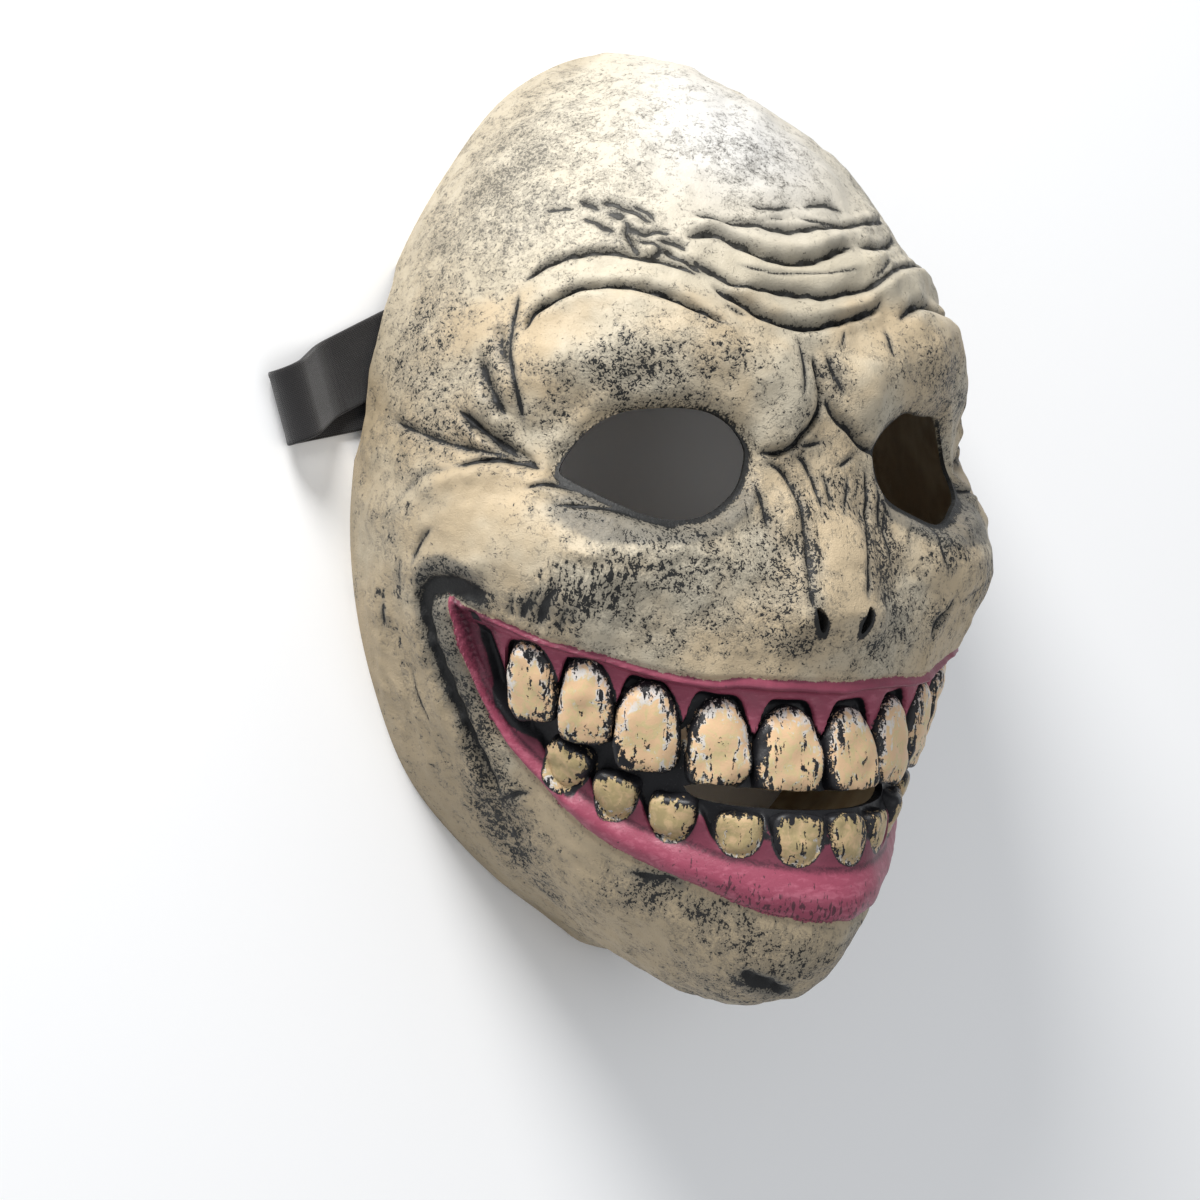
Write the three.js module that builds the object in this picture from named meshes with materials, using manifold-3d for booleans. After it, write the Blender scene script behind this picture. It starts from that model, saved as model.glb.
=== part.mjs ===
// A grinning half mask: one thin latex casting that covers the face from the forehead to the chin,
// with a flat elastic band across its open back. It lies face up on its rim.
// +X is to the wearer's left, +Y is up the face and +Z is out of the face.
// The face is drawn on a globe whose axis is the Y axis. A place on it is told by its angle round the
// globe from the midline and by its angle up the globe, or by millimetres round and up the face.

import * as THREE from 'three';
import { mergeVertices } from 'three/addons/utils/BufferGeometryUtils.js';
import Module from 'manifold-3d';

const wasm = await Module();
wasm.setup();

// Driving dimensions, in mm and degrees
const GLOBE_Y = -1.2; // puts the middle of the mask's box over the origin
const WALL = 3; // thickness of the latex
const CHART_RADIUS = 95; // turns an angle round the face into mm round the face
const OUTLINE_STEP = 15; // degrees up the globe between the numbers of an outline
const OUTLINE_TURN = 30; // degrees round the globe between the outlines

// Outlines of the plain face, as radii of the globe from the lowest point of the rim to the highest
const OUTLINES = [
  [115, 124, 142.8, 138, 112, 104, 95, 96, 104, 113, 121, 127, 129], // midline
  [115, 116.5, 124, 116.5, 106, 102, 102, 101, 106, 112, 119, 124, 129],
  [115, 110, 106, 99, 95, 95.5, 97.5, 95.5, 100.5, 107, 115, 121.5, 129],
  [115, 106, 99, 94.5, 89, 86, 85, 86, 92, 99, 109, 122.5, 129], // rim
];

// Facets: columns run round the face, rows run up it
const OUTER_COLUMNS = 46;
const OUTER_ROWS = 56;
const INNER_COLUMNS = 24;
const INNER_ROWS = 28;
const SKIRT = 5; // how far the hollow is cut on below the rim

// Larger carving, placed in mm round the face and mm up it
const BROW = { line: [[12, 34], [32, 43], [60, 46], [84, 36]], height: 5, reach: 11 };
const BROW_FOLD = { line: [[25, 49], [45, 58], [60, 60], [75, 57], [83, 47]], height: -1.6, reach: 3.5 };
const SOCKET = { s: 47, y: 15, width: 31, tall: 20, depth: 6 };
const CHEEK = { s: 60, y: -10, width: 24, tall: 15, height: 5 };
const NOSE = { top: 26, tip: -17, bottom: -36, height: 8, rootWidth: 7.8, tipWidth: 13 };
const NOSTRIL_WING = { s: 10, y: -23, width: 5.5, tall: 5.5, height: 2.5 };
const CHIN = { s: 0, y: -112, width: 17, tall: 13, height: 5, fadeFrom: -88, fadeTo: -68 };
const SMILE_FOLD = {
  line: [[90, -20], [96, -15], [107, -13], [113, -22], [111, -42], [107, -58], [101, -71]],
  depth: 2.2,
  reach: 5,
};
const FOREHEAD_FOLDS = [
  [[0, 50], [15, 53], [28, 58]],
  [[0, 58], [18, 61], [36, 66]],
  [[0, 67], [16, 70], [32, 74]],
];
const FOREHEAD_FOLD = { depth: 1.2, reach: 2.6 };
const HOLLOW_SHARE = 0.8; // how much of the broad carving the inside follows

// The grin: its corners, and the middles of the outer edges of its lips
const GRIN_HALF_WIDTH = 104;
const GRIN_CORNER = 12; // over which the mouth's floor comes up at a corner
const LIP_CORNER = { outside: 2, inside: 6 }; // over which the lips run out there
const UPPER_LIP_Y = -42;
const LOWER_LIP_Y = -105;
const UPPER_LIP_RISE = 21.5;
const LOWER_LIP_RISE = 85;
const LOWER_LIP_BULGE = 4;
const UPPER_LIP = { thick: 5, height: 1.5 };
const LOWER_LIP = { thick: 11, height: 3 };
const MOUTH_DEPTH = 6.5; // of the dark floor between the lips
const MOUTH_SLOPE = 4; // over which the lips fall to that floor

// Teeth from the midline outwards: middle round the face, width, and y of the top and bottom ends
const UPPER_TEETH = [
  { s: 10, width: 18, top: -48, bottom: -69 },
  { s: 29.5, width: 16, top: -46, bottom: -67.5 },
  { s: 49, width: 16.5, top: -43, bottom: -64 },
  { s: 66, width: 14.5, top: -37.5, bottom: -57 },
  { s: 81, width: 14, top: -32.5, bottom: -51 },
];
const LOWER_TEETH = [
  { s: 7.5, width: 13.5, top: -75.5, bottom: -88 },
  { s: 24, width: 13, top: -74.5, bottom: -86 },
  { s: 42, width: 13, top: -70.5, bottom: -82.5 },
  { s: 57, width: 12.5, top: -65, bottom: -77 },
  { s: 71.5, width: 13, top: -56.5, bottom: -69 },
];
const UPPER_TOOTH_FRONT = -0.5; // from the plain face, outwards
const LOWER_TOOTH_FRONT = -3;
const TOOTH_DEPTH = 9;
const TOOTH_SQUARENESS = 0.55; // 1 is an egg and 0 is a block
const TOOTH_SIDES = 8;
const TOOTH_BANDS = 4;
const TOOTH_AIM = 2; // distance to the neighbouring places that tell which way the jaw faces

// Holes
const EYE_HOLE = { s: 47, y: 14.5, halfWidth: 25.5, halfHeight: 14.5, tilt: 5, sides: 24 };
const MOUTH_SLOT = { left: -38, right: 32, middle: -72, height: 5, rise: 3.6, steps: 8 };
const NOSTRIL = { s: 6.5, y: -26, halfWidth: 2.2, halfHeight: 4.4, tilt: 0, sides: 8 };
const CUT_INWARDS = 24;
const CUT_OUTWARDS = 14;

// Low arches in the rim at the temples, which the band passes under
const ARCH = { middle: 43, halfLength: 26, height: 4.8, steps: 12, nearX: 55, farX: 100 };

// Elastic band. It is glued inside both temples. Slack, it slips out under one arch, folds over
// and runs back across the floor to the other temple.
const BAND_WIDTH = 20;
const BAND_THICKNESS = 1.2;
const BAND = {
  x: -68.8, // where it starts, on the inside of the wearer's right temple
  y: 61.5,
  z: 20,
  wallAngle: 19.5, // of the temple's wall to the Y axis
  slant: 44, // of the band on that wall
  glued: 20, // length held by the wall
  underTurn: 3, // radius of the turn under the rim
  outside: 14, // flat run under the arch and out
  rise: 35, // angle at which the slack loop lifts
  riseTurn: 12,
  riseRun: 8,
  foldTurn: 4.7, // radius of the fold
  foldSkew: 6.8, // how far the fold lies off square
  across: 171.5,
  wallTurn: 5,
  wallSkew: 10,
  end: 20,
};

const DEGREE = Math.PI / 180;
const vector = (x, y, z) => new THREE.Vector3(x, y, z);
const bump = (distance, reach) => Math.exp(-((distance / reach) ** 2));

// Smooth step from 0 to 1. The start may lie above the end.
function smooth(from, to, value) {
  const part = THREE.MathUtils.clamp((value - from) / (to - from), 0, 1);
  return part * part * (3 - 2 * part);
}

// Curve through four evenly spaced values, between the second and the third
function spline(before, first, second, after, t) {
  const bend = 2 * before - 5 * first + 4 * second - after;
  const twist = 3 * first - before - 3 * second + after;
  return 0.5 * (2 * first + (second - before) * t + bend * t * t + twist * t * t * t);
}

// Radius on one outline. Beyond the ends of the rim it turns back on itself.
function outlineRadius(outline, upAngle) {
  const last = outline.length - 1;
  const place = (upAngle + 90) / OUTLINE_STEP;
  const start = Math.min(Math.floor(place), last - 1);
  const at = (index) => outline[last - Math.abs(last - Math.abs(index))];
  return spline(at(start - 1), at(start), at(start + 1), at(start + 2), place - start);
}

// Radius of the plain face, without its carving
function plainRadius(roundAngle, upAngle) {
  const last = OUTLINES.length - 1;
  const place = Math.abs(roundAngle) / OUTLINE_TURN;
  const start = Math.min(Math.floor(place), last - 1);
  const radii = OUTLINES.map((outline) => outlineRadius(outline, upAngle));
  const at = (index) => (index > last ? 2 * radii[last] - radii[last - 1] : radii[Math.abs(index)]);
  return spline(at(start - 1), at(start), at(start + 1), at(start + 2), place - start);
}

const toRound = (s) => s / CHART_RADIUS / DEGREE;

function direction(roundAngle, upAngle) {
  const level = Math.cos(upAngle * DEGREE);
  const round = roundAngle * DEGREE;
  return vector(level * Math.sin(round), Math.sin(upAngle * DEGREE), level * Math.cos(round));
}

// Point of the plain face at a place in mm round and up the face
function plainPoint(s, y) {
  const round = toRound(s);
  let up = 0;
  for (let pass = 0; pass < 30; pass += 1) {
    up = Math.asin(THREE.MathUtils.clamp(y / plainRadius(round, up), -1, 1)) / DEGREE;
  }
  return direction(round, up).multiplyScalar(plainRadius(round, up));
}

// Shortest distance from a place to a line of places
function lineDistance(line, s, y) {
  let shortest = Infinity;
  for (let index = 1; index < line.length; index += 1) {
    const [fromS, fromY] = line[index - 1];
    const alongS = line[index][0] - fromS;
    const alongY = line[index][1] - fromY;
    const part = ((s - fromS) * alongS + (y - fromY) * alongY) / (alongS ** 2 + alongY ** 2);
    const held = THREE.MathUtils.clamp(part, 0, 1);
    shortest = Math.min(shortest, Math.hypot(s - fromS - held * alongS, y - fromY - held * alongY));
  }
  return shortest;
}

const swelling = (shape, s, y) => (
  shape.height * bump(s - shape.s, shape.width) * bump(y - shape.y, shape.tall)
);

// Outer edges of the two lips at a place round the face
function lipEdges(s) {
  const part = Math.min(Math.abs(s) / GRIN_HALF_WIDTH, 1);
  const upper = UPPER_LIP_Y + UPPER_LIP_RISE * part ** 2;
  const sweep = LOWER_LIP_RISE * (1 - Math.sqrt(1 - part ** 2));
  const lower = LOWER_LIP_Y + sweep + LOWER_LIP_BULGE * Math.sin(Math.PI * part);
  return { upper, lower };
}

// How much of the mouth's depth is reached at a place, from 0 on the lips to 1 on the floor
function mouthShare(s, y, spread) {
  const { upper, lower } = lipEdges(s);
  const upperShare = smooth(UPPER_LIP.thick - spread, UPPER_LIP.thick + MOUTH_SLOPE, upper - y);
  const lowerShare = smooth(LOWER_LIP.thick - spread, LOWER_LIP.thick + MOUTH_SLOPE, y - lower);
  const inside = smooth(GRIN_HALF_WIDTH + spread, GRIN_HALF_WIDTH - GRIN_CORNER, Math.abs(s));
  return upperShare * lowerShare * inside;
}

function noseHeight(s, y) {
  const rise = smooth(NOSE.top, NOSE.tip, y);
  const fall = smooth(NOSE.bottom, NOSE.tip, y);
  const width = THREE.MathUtils.lerp(NOSE.rootWidth, NOSE.tipWidth, rise);
  return NOSE.height * rise * fall * bump(s, width) + swelling(NOSTRIL_WING, Math.abs(s), y);
}

function lipHeight(s, y) {
  const { upper, lower } = lipEdges(s);
  const { outside, inside } = LIP_CORNER;
  const corner = smooth(GRIN_HALF_WIDTH + outside, GRIN_HALF_WIDTH - inside, Math.abs(s));
  const upperRoll = UPPER_LIP.height * bump(upper - y - UPPER_LIP.thick / 2, UPPER_LIP.thick / 2);
  const lowerRoll = LOWER_LIP.height * bump(y - lower - LOWER_LIP.thick / 2, LOWER_LIP.thick / 2);
  return corner * (upperRoll + lowerRoll);
}

// The chin's swelling, in true mm from the midline, which fades towards the lowest point of the rim
function chinHeight(plain, roundAngle, upAngle) {
  const across = roundAngle * DEGREE * plain * Math.cos(upAngle * DEGREE);
  const fade = smooth(CHIN.fadeFrom, CHIN.fadeTo, upAngle);
  return fade * swelling(CHIN, across, plain * Math.sin(upAngle * DEGREE));
}

// Broad swellings and hollows, which the inside of the casting follows too
function broadRelief(s, y) {
  const side = Math.abs(s);
  const socket = Math.hypot((side - SOCKET.s) / SOCKET.width, (y - SOCKET.y) / SOCKET.tall);
  return (
    BROW.height * bump(lineDistance(BROW.line, side, y), BROW.reach)
    - SOCKET.depth * Math.exp(-(socket ** 4))
    + swelling(CHEEK, side, y)
    + noseHeight(s, y)
  );
}

// Sharper carving, on the outside only
function fineRelief(s, y) {
  const side = Math.abs(s);
  const folds = FOREHEAD_FOLDS.map((line) => bump(lineDistance(line, side, y), FOREHEAD_FOLD.reach));
  return (
    BROW_FOLD.height * bump(lineDistance(BROW_FOLD.line, side, y), BROW_FOLD.reach)
    - SMILE_FOLD.depth * bump(lineDistance(SMILE_FOLD.line, side, y), SMILE_FOLD.reach)
    - FOREHEAD_FOLD.depth * Math.max(...folds)
    + lipHeight(s, y)
    - MOUTH_DEPTH * mouthShare(s, y, 0)
  );
}

function outerRadius(roundAngle, upAngle) {
  const plain = plainRadius(roundAngle, upAngle);
  const s = roundAngle * DEGREE * CHART_RADIUS;
  const y = plain * Math.sin(upAngle * DEGREE);
  return plain + chinHeight(plain, roundAngle, upAngle) + broadRelief(s, y) + fineRelief(s, y);
}

function innerRadius(roundAngle, upAngle) {
  const plain = plainRadius(roundAngle, upAngle);
  const s = roundAngle * DEGREE * CHART_RADIUS;
  const y = plain * Math.sin(upAngle * DEGREE);
  const broad = broadRelief(s, y) + chinHeight(plain, roundAngle, upAngle);
  return plain + HOLLOW_SHARE * broad - MOUTH_DEPTH * mouthShare(s, y, MOUTH_SLOPE) - WALL;
}

function geometryFrom(corners, triangles) {
  const geometry = new THREE.BufferGeometry();
  const numbers = corners.flatMap(({ x, y, z }) => [x, y, z]);
  geometry.setAttribute('position', new THREE.Float32BufferAttribute(numbers, 3));
  geometry.setIndex(triangles.flat());
  return geometry;
}

// Direction of a grid corner. The square grid is drawn out to a disc, and the disc over half a globe.
function gridDirection(across, up) {
  const discX = across * Math.sqrt(1 - (up * up) / 2);
  const discY = up * Math.sqrt(1 - (across * across) / 2);
  const reach = Math.min(Math.hypot(discX, discY), 1);
  if (reach === 0) return vector(0, 0, 1);
  const lean = reach * 90 * DEGREE;
  const spread = Math.sin(lean) / Math.hypot(discX, discY);
  return vector(spread * discX, spread * discY, Math.cos(lean));
}

// Closed dome over the rim's plane, with a straight skirt below it
function dome(columns, rows, radiusAt, skirt) {
  const corners = [];
  const triangles = [];
  const index = (column, row) => row * (columns + 1) + column;
  for (let row = 0; row <= rows; row += 1) {
    for (let column = 0; column <= columns; column += 1) {
      const aim = gridDirection((2 * column) / columns - 1, (2 * row) / rows - 1);
      const round = Math.atan2(aim.x, aim.z) / DEGREE;
      const up = Math.asin(THREE.MathUtils.clamp(aim.y, -1, 1)) / DEGREE;
      const edge = row === 0 || row === rows || column === 0 || column === columns;
      const held = edge ? Math.sign(aim.x || 1) * 90 : round;
      const corner = aim.multiplyScalar(radiusAt(held, up));
      if (edge) corner.z = 0;
      corners.push(corner);
    }
  }
  for (let row = 0; row < rows; row += 1) {
    for (let column = 0; column < columns; column += 1) {
      const [a, b] = [index(column, row), index(column + 1, row)];
      const [c, d] = [index(column + 1, row + 1), index(column, row + 1)];
      const leaning = (column < columns / 2) === (row < rows / 2);
      triangles.push(...(leaning ? [[a, b, d], [b, c, d]] : [[a, b, c], [a, c, d]]));
    }
  }
  const loop = [];
  for (let column = 0; column < columns; column += 1) loop.push(index(column, 0));
  for (let row = 0; row < rows; row += 1) loop.push(index(columns, row));
  for (let column = columns; column > 0; column -= 1) loop.push(index(column, rows));
  for (let row = rows; row > 0; row -= 1) loop.push(index(0, row));
  let edgeLoop = loop;
  if (skirt > 0) {
    edgeLoop = loop.map((corner) => corners.push(corners[corner].clone().setZ(-skirt)) - 1);
    loop.forEach((corner, step) => {
      const next = (step + 1) % loop.length;
      triangles.push([corner, edgeLoop[step], loop[next]], [loop[next], edgeLoop[step], edgeLoop[next]]);
    });
  }
  const middle = corners.push(vector(0, 0, -skirt)) - 1;
  edgeLoop.forEach((corner, step) => {
    triangles.push([middle, edgeLoop[(step + 1) % edgeLoop.length], corner]);
  });
  return geometryFrom(corners, triangles);
}

// Plug that cuts a hole of the given outline straight through the wall, level with the rim's plane
function holePlug(outline) {
  const corners = [];
  const triangles = [];
  const count = outline.length;
  const place = (s, y, extra) => {
    const point = plainPoint(s, y);
    const level = Math.hypot(point.x, point.z);
    return vector(point.x * (1 + extra / level), point.y, point.z * (1 + extra / level));
  };
  const middleS = outline.reduce((sum, [s]) => sum + s, 0) / count;
  const middleY = outline.reduce((sum, [, y]) => sum + y, 0) / count;
  for (const extra of [-CUT_INWARDS, CUT_OUTWARDS]) {
    outline.forEach(([s, y]) => corners.push(place(s, y, extra)));
    corners.push(place(middleS, middleY, extra));
  }
  const outer = count + 1;
  for (let step = 0; step < count; step += 1) {
    const next = (step + 1) % count;
    triangles.push([count, next, step], [outer + count, outer + step, outer + next]);
    triangles.push([step, next, outer + next], [step, outer + next, outer + step]);
  }
  return geometryFrom(corners, triangles);
}

// Oval outline, counted anticlockwise as seen from in front
function ovalOutline(hole, side) {
  return Array.from({ length: hole.sides }, (_, step) => {
    const angle = (step / hole.sides) * 2 * Math.PI;
    const across = hole.halfWidth * Math.cos(angle);
    const up = hole.halfHeight * Math.sin(angle);
    const slope = side * Math.tan(hole.tilt * DEGREE);
    return [side * hole.s + across, hole.y + up - across * slope];
  });
}

function slotOutline() {
  const stations = Array.from({ length: MOUTH_SLOT.steps + 1 }, (_, step) => (
    THREE.MathUtils.lerp(MOUTH_SLOT.left, MOUTH_SLOT.right, step / MOUTH_SLOT.steps)
  ));
  const middle = (s) => MOUTH_SLOT.middle + MOUTH_SLOT.rise * (s / MOUTH_SLOT.left) ** 2;
  const below = stations.map((s) => [s, middle(s) - MOUTH_SLOT.height / 2]);
  const above = stations.toReversed().map((s) => [s, middle(s) + MOUTH_SLOT.height / 2]);
  return [...below, ...above];
}

// One tooth, a rounded block that stands on the floor of the mouth and faces along the jaw's normal
function tooth(shape, side, front) {
  const middleY = (shape.top + shape.bottom) / 2;
  const middle = plainPoint(side * shape.s, middleY);
  const ahead = plainPoint(side * shape.s + TOOTH_AIM, middleY);
  const above = plainPoint(side * shape.s, middleY + TOOTH_AIM);
  const across = ahead.sub(middle).normalize();
  const normal = vector().crossVectors(across, above.sub(middle)).normalize();
  const up = vector().crossVectors(normal, across);
  const centre = middle.clone().addScaledVector(normal, front - TOOTH_DEPTH / 2);
  const rounded = (value) => Math.sign(value) * Math.abs(value) ** TOOTH_SQUARENESS;
  const geometry = new THREE.SphereGeometry(0.5, TOOTH_SIDES, TOOTH_BANDS);
  const position = geometry.attributes.position;
  for (let index = 0; index < position.count; index += 1) {
    const unit = vector().fromBufferAttribute(position, index).multiplyScalar(2);
    const point = centre.clone()
      .addScaledVector(across, (rounded(unit.x) * shape.width) / 2)
      .addScaledVector(up, (rounded(unit.y) * (shape.top - shape.bottom)) / 2)
      .addScaledVector(normal, (rounded(unit.z) * TOOTH_DEPTH) / 2);
    position.setXYZ(index, point.x, point.y, point.z);
  }
  return geometry;
}

// Block below a low arch in the rim on one side
function archBlock(side) {
  const shape = new THREE.Shape();
  shape.moveTo(-ARCH.halfLength, -1);
  for (let step = 0; step <= ARCH.steps; step += 1) {
    const along = (2 * step) / ARCH.steps - 1;
    shape.lineTo(along * ARCH.halfLength, ARCH.height * (1 - along ** 4));
  }
  shape.lineTo(ARCH.halfLength, -1);
  const geometry = new THREE.ExtrudeGeometry(shape, { depth: ARCH.farX - ARCH.nearX, bevelEnabled: false });
  geometry.applyMatrix4(new THREE.Matrix4().makeBasis(vector(0, 1, 0), vector(0, 0, 1), vector(1, 0, 0)));
  return geometry.translate(side > 0 ? ARCH.nearX : -ARCH.farX, ARCH.middle, 0);
}

function toSolid(geometry) {
  const bare = geometry.clone();
  bare.deleteAttribute('normal');
  bare.deleteAttribute('uv');
  const merged = mergeVertices(bare, 1e-4);
  return new wasm.Manifold(new wasm.Mesh({
    numProp: 3,
    vertProperties: new Float32Array(merged.attributes.position.array),
    triVerts: new Uint32Array(merged.index.array),
  }));
}

function fromSolid(solid) {
  const mesh = solid.getMesh();
  const geometry = new THREE.BufferGeometry();
  geometry.setAttribute('position', new THREE.BufferAttribute(mesh.vertProperties, 3));
  geometry.setIndex(new THREE.BufferAttribute(mesh.triVerts, 1));
  return geometry;
}

// The casting: dome less hollow, with its teeth, holes and arches
function maskShell() {
  let solid = toSolid(dome(OUTER_COLUMNS, OUTER_ROWS, outerRadius, 0));
  for (const side of [-1, 1]) {
    UPPER_TEETH.forEach((shape) => { solid = solid.add(toSolid(tooth(shape, side, UPPER_TOOTH_FRONT))); });
    LOWER_TEETH.forEach((shape) => { solid = solid.add(toSolid(tooth(shape, side, LOWER_TOOTH_FRONT))); });
  }
  solid = solid.subtract(toSolid(dome(INNER_COLUMNS, INNER_ROWS, innerRadius, SKIRT)));
  for (const side of [-1, 1]) {
    solid = solid.subtract(toSolid(holePlug(ovalOutline(EYE_HOLE, side))));
    solid = solid.subtract(toSolid(holePlug(ovalOutline(NOSTRIL, side))));
    solid = solid.subtract(toSolid(archBlock(side)));
  }
  return fromSolid(solid.subtract(toSolid(holePlug(slotOutline()))));
}

// Walks along the middle of a flat band. It knows its place, the way it heads and the way its face looks.
// Each station holds a straight line across the band, which lies off square by the station's skew.
class BandWalk {
  constructor(place, heading, face) {
    Object.assign(this, { place, heading, face, stations: [] });
    this.mark(0);
  }

  mark(skew) {
    const line = vector().crossVectors(this.heading, this.face)
      .addScaledVector(this.heading, Math.tan(skew * DEGREE));
    this.stations.push({ place: this.place.clone(), line, face: this.face.clone() });
  }

  // Runs straight on. The line at its end has the skew of the turn that follows.
  run(length, skew) {
    this.place.addScaledVector(this.heading, length);
    this.mark(skew);
  }

  // Bends towards the face by an angle in degrees, or away from it where the angle is below 0
  turn(angle, radius, skew, steps) {
    const part = (angle * DEGREE) / steps;
    for (let step = 0; step < steps; step += 1) {
      const axis = vector().crossVectors(this.heading, this.face).multiplyScalar(Math.cos(skew * DEGREE))
        .addScaledVector(this.heading, Math.sin(skew * DEGREE));
      const arm = this.face.clone().multiplyScalar(-radius * Math.sign(angle));
      this.place.sub(arm).add(arm.applyAxisAngle(axis, part));
      this.place.addScaledVector(axis, radius * Math.abs(part) * Math.tan(skew * DEGREE));
      this.heading.applyAxisAngle(axis, part);
      this.face.applyAxisAngle(axis, part);
      this.mark(skew);
    }
  }
}

function bandStations() {
  const inwards = vector(Math.cos(BAND.wallAngle * DEGREE), -Math.sin(BAND.wallAngle * DEGREE), 0);
  const along = vector(Math.sin(BAND.wallAngle * DEGREE), Math.cos(BAND.wallAngle * DEGREE), 0);
  const heading = vector(0, 0, -Math.cos(BAND.slant * DEGREE))
    .addScaledVector(along, -Math.sin(BAND.slant * DEGREE));
  const walk = new BandWalk(vector(BAND.x, BAND.y, BAND.z), heading, inwards);
  walk.run(BAND.glued, BAND.slant);
  walk.turn(-90, BAND.underTurn, BAND.slant, 6);
  walk.run(BAND.outside, BAND.foldSkew);
  walk.turn(-BAND.rise, BAND.riseTurn, BAND.foldSkew, 4);
  walk.run(BAND.riseRun, BAND.foldSkew);
  walk.turn(180 + BAND.rise, BAND.foldTurn, BAND.foldSkew, 14);
  walk.run(BAND.across, BAND.wallSkew);
  walk.turn(90, BAND.wallTurn, BAND.wallSkew, 6);
  walk.run(BAND.end, 0);
  return walk.stations;
}

// Closed strip with a flat rectangular section
function bandGeometry(stations) {
  const corners = stations.flatMap(({ place, line, face }) => (
    [[1, -1], [1, 1], [-1, 1], [-1, -1]].map(([across, through]) => place.clone()
      .addScaledVector(line, (across * BAND_WIDTH) / 2)
      .addScaledVector(face, (through * BAND_THICKNESS) / 2))
  ));
  const last = corners.length - 4;
  const triangles = [[0, 1, 2], [0, 2, 3], [last, last + 2, last + 1], [last, last + 3, last + 2]];
  for (let start = 0; start < last; start += 4) {
    for (let corner = 0; corner < 4; corner += 1) {
      const next = (corner + 1) % 4;
      triangles.push([start + corner, start + 4 + corner, start + 4 + next]);
      triangles.push([start + corner, start + 4 + next, start + next]);
    }
  }
  return geometryFrom(corners, triangles);
}

const latex = new THREE.MeshStandardMaterial({ color: 0xcfc39c, roughness: 0.6, metalness: 0 });
const elastic = new THREE.MeshStandardMaterial({ color: 0x2c2a2b, roughness: 0.9, metalness: 0 });

function named(name, geometry, material) {
  const mesh = new THREE.Mesh(geometry, material);
  mesh.name = name;
  return mesh;
}

const mask = new THREE.Group();
mask.add(named('mask_shell', maskShell(), latex));
mask.add(named('elastic_band', bandGeometry(bandStations()), elastic));
mask.position.y = GLOBE_Y;

export default mask;
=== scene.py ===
"""Looks of a grinning latex half mask, which lies face up on its rim with its elastic band slack.

The face is drawn on a globe whose axis is the Y axis. A place on it is told by millimetres round the
face from the midline, positive to the wearer's left, and millimetres up the face. Meshes are worked out
in millimetres and set in metres.
"""
import logging
import math
from collections.abc import Callable, Iterator
from contextlib import contextmanager
from dataclasses import dataclass, field
from enum import Enum

import bmesh
import bpy
import numpy as np
from mathutils import Matrix, Vector


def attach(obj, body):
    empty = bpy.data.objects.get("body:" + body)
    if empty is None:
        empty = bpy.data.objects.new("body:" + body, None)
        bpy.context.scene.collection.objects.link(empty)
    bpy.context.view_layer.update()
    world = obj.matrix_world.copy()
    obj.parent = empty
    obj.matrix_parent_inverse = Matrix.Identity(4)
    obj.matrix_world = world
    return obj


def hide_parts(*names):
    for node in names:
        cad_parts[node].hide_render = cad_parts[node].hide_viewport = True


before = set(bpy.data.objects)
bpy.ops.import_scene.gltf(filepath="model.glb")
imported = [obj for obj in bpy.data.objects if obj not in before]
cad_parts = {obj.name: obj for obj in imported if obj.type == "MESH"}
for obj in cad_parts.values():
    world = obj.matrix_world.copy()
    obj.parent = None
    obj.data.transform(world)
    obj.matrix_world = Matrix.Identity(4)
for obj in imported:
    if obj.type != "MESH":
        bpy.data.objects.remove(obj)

logging.basicConfig(level=logging.INFO, format="%(message)s")
log = logging.getLogger("half_mask")

Place = tuple[float, float]
Colour = tuple[float, float, float]
Array = np.ndarray
MM = 0.001  # metres
GLOBE_Y = -1.2  # the globe's middle, in mm up the frame
WALL = 3.0  # thickness of the casting, in mm
CHART_RADIUS = 95.0  # radius that turns an angle round the globe into mm round the face
FAR = 40.0  # distance in mm for a place that a line doesn't matter to


def smooth(start: float, end: float, value: Array) -> Array:
    """Steps softly from 0 to 1.

    Args:
        start: Value at which the step is still 0. It may lie above the end.
        end: Value at which the step has reached 1.
        value: Values to step on.

    Returns:
        The step at each value.
    """
    part = np.clip((value - start) / (end - start), 0.0, 1.0)
    return part * part * (3.0 - 2.0 * part)


def bump(distance: Array, reach: float) -> Array:
    """Gives a bell curve that is 1 at no distance."""
    return np.exp(-((distance / reach) ** 2))


def oval(across: Array, up: Array, width: Array | float, tall: Array | float) -> Array:
    """Gives a bell curve over an oval, which is 1 at its middle."""
    return np.exp(-((across / width) ** 2) - (up / tall) ** 2)


def catmull(before: Array, first: Array, second: Array, after: Array, part: Array) -> Array:
    """Goes through four evenly spaced values, between the second and the third.

    Args:
        before: Value before the span.
        first: Value at the start of the span.
        second: Value at its end.
        after: Value after it.
        part: How far along the span, from 0 to 1.

    Returns:
        The values on the curve.
    """
    bend = 2 * before - 5 * first + 4 * second - after
    twist = 3 * first - before - 3 * second + after
    return 0.5 * (2 * first + (second - before) * part + bend * part**2 + twist * part**3)


def rounded_line(line: tuple[Place, ...], step: float = 2.0, closed: bool = False) -> Array:
    """Draws a smooth curve through a line of places.

    Args:
        line: Places that the curve goes through.
        step: Rough distance between the curve's points, in mm.
        closed: Whether the curve goes on from the last place to the first.

    Returns:
        The curve's points, one row each.
    """
    places = np.array(line, dtype=float)
    if closed:
        places = np.vstack([places[-1:], places, places[:2]])
    else:
        places = np.vstack([2 * places[0] - places[1], places, 2 * places[-1] - places[-2]])
    points = []
    for index in range(1, len(places) - 2):
        span = np.linalg.norm(places[index + 1] - places[index])
        parts = np.arange(max(1, math.ceil(span / step)))[:, None] / max(1, math.ceil(span / step))
        points.append(catmull(*places[index - 1:index + 3], parts))
    if not closed:
        points.append(places[-2:-1])
    return np.vstack(points)


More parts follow.
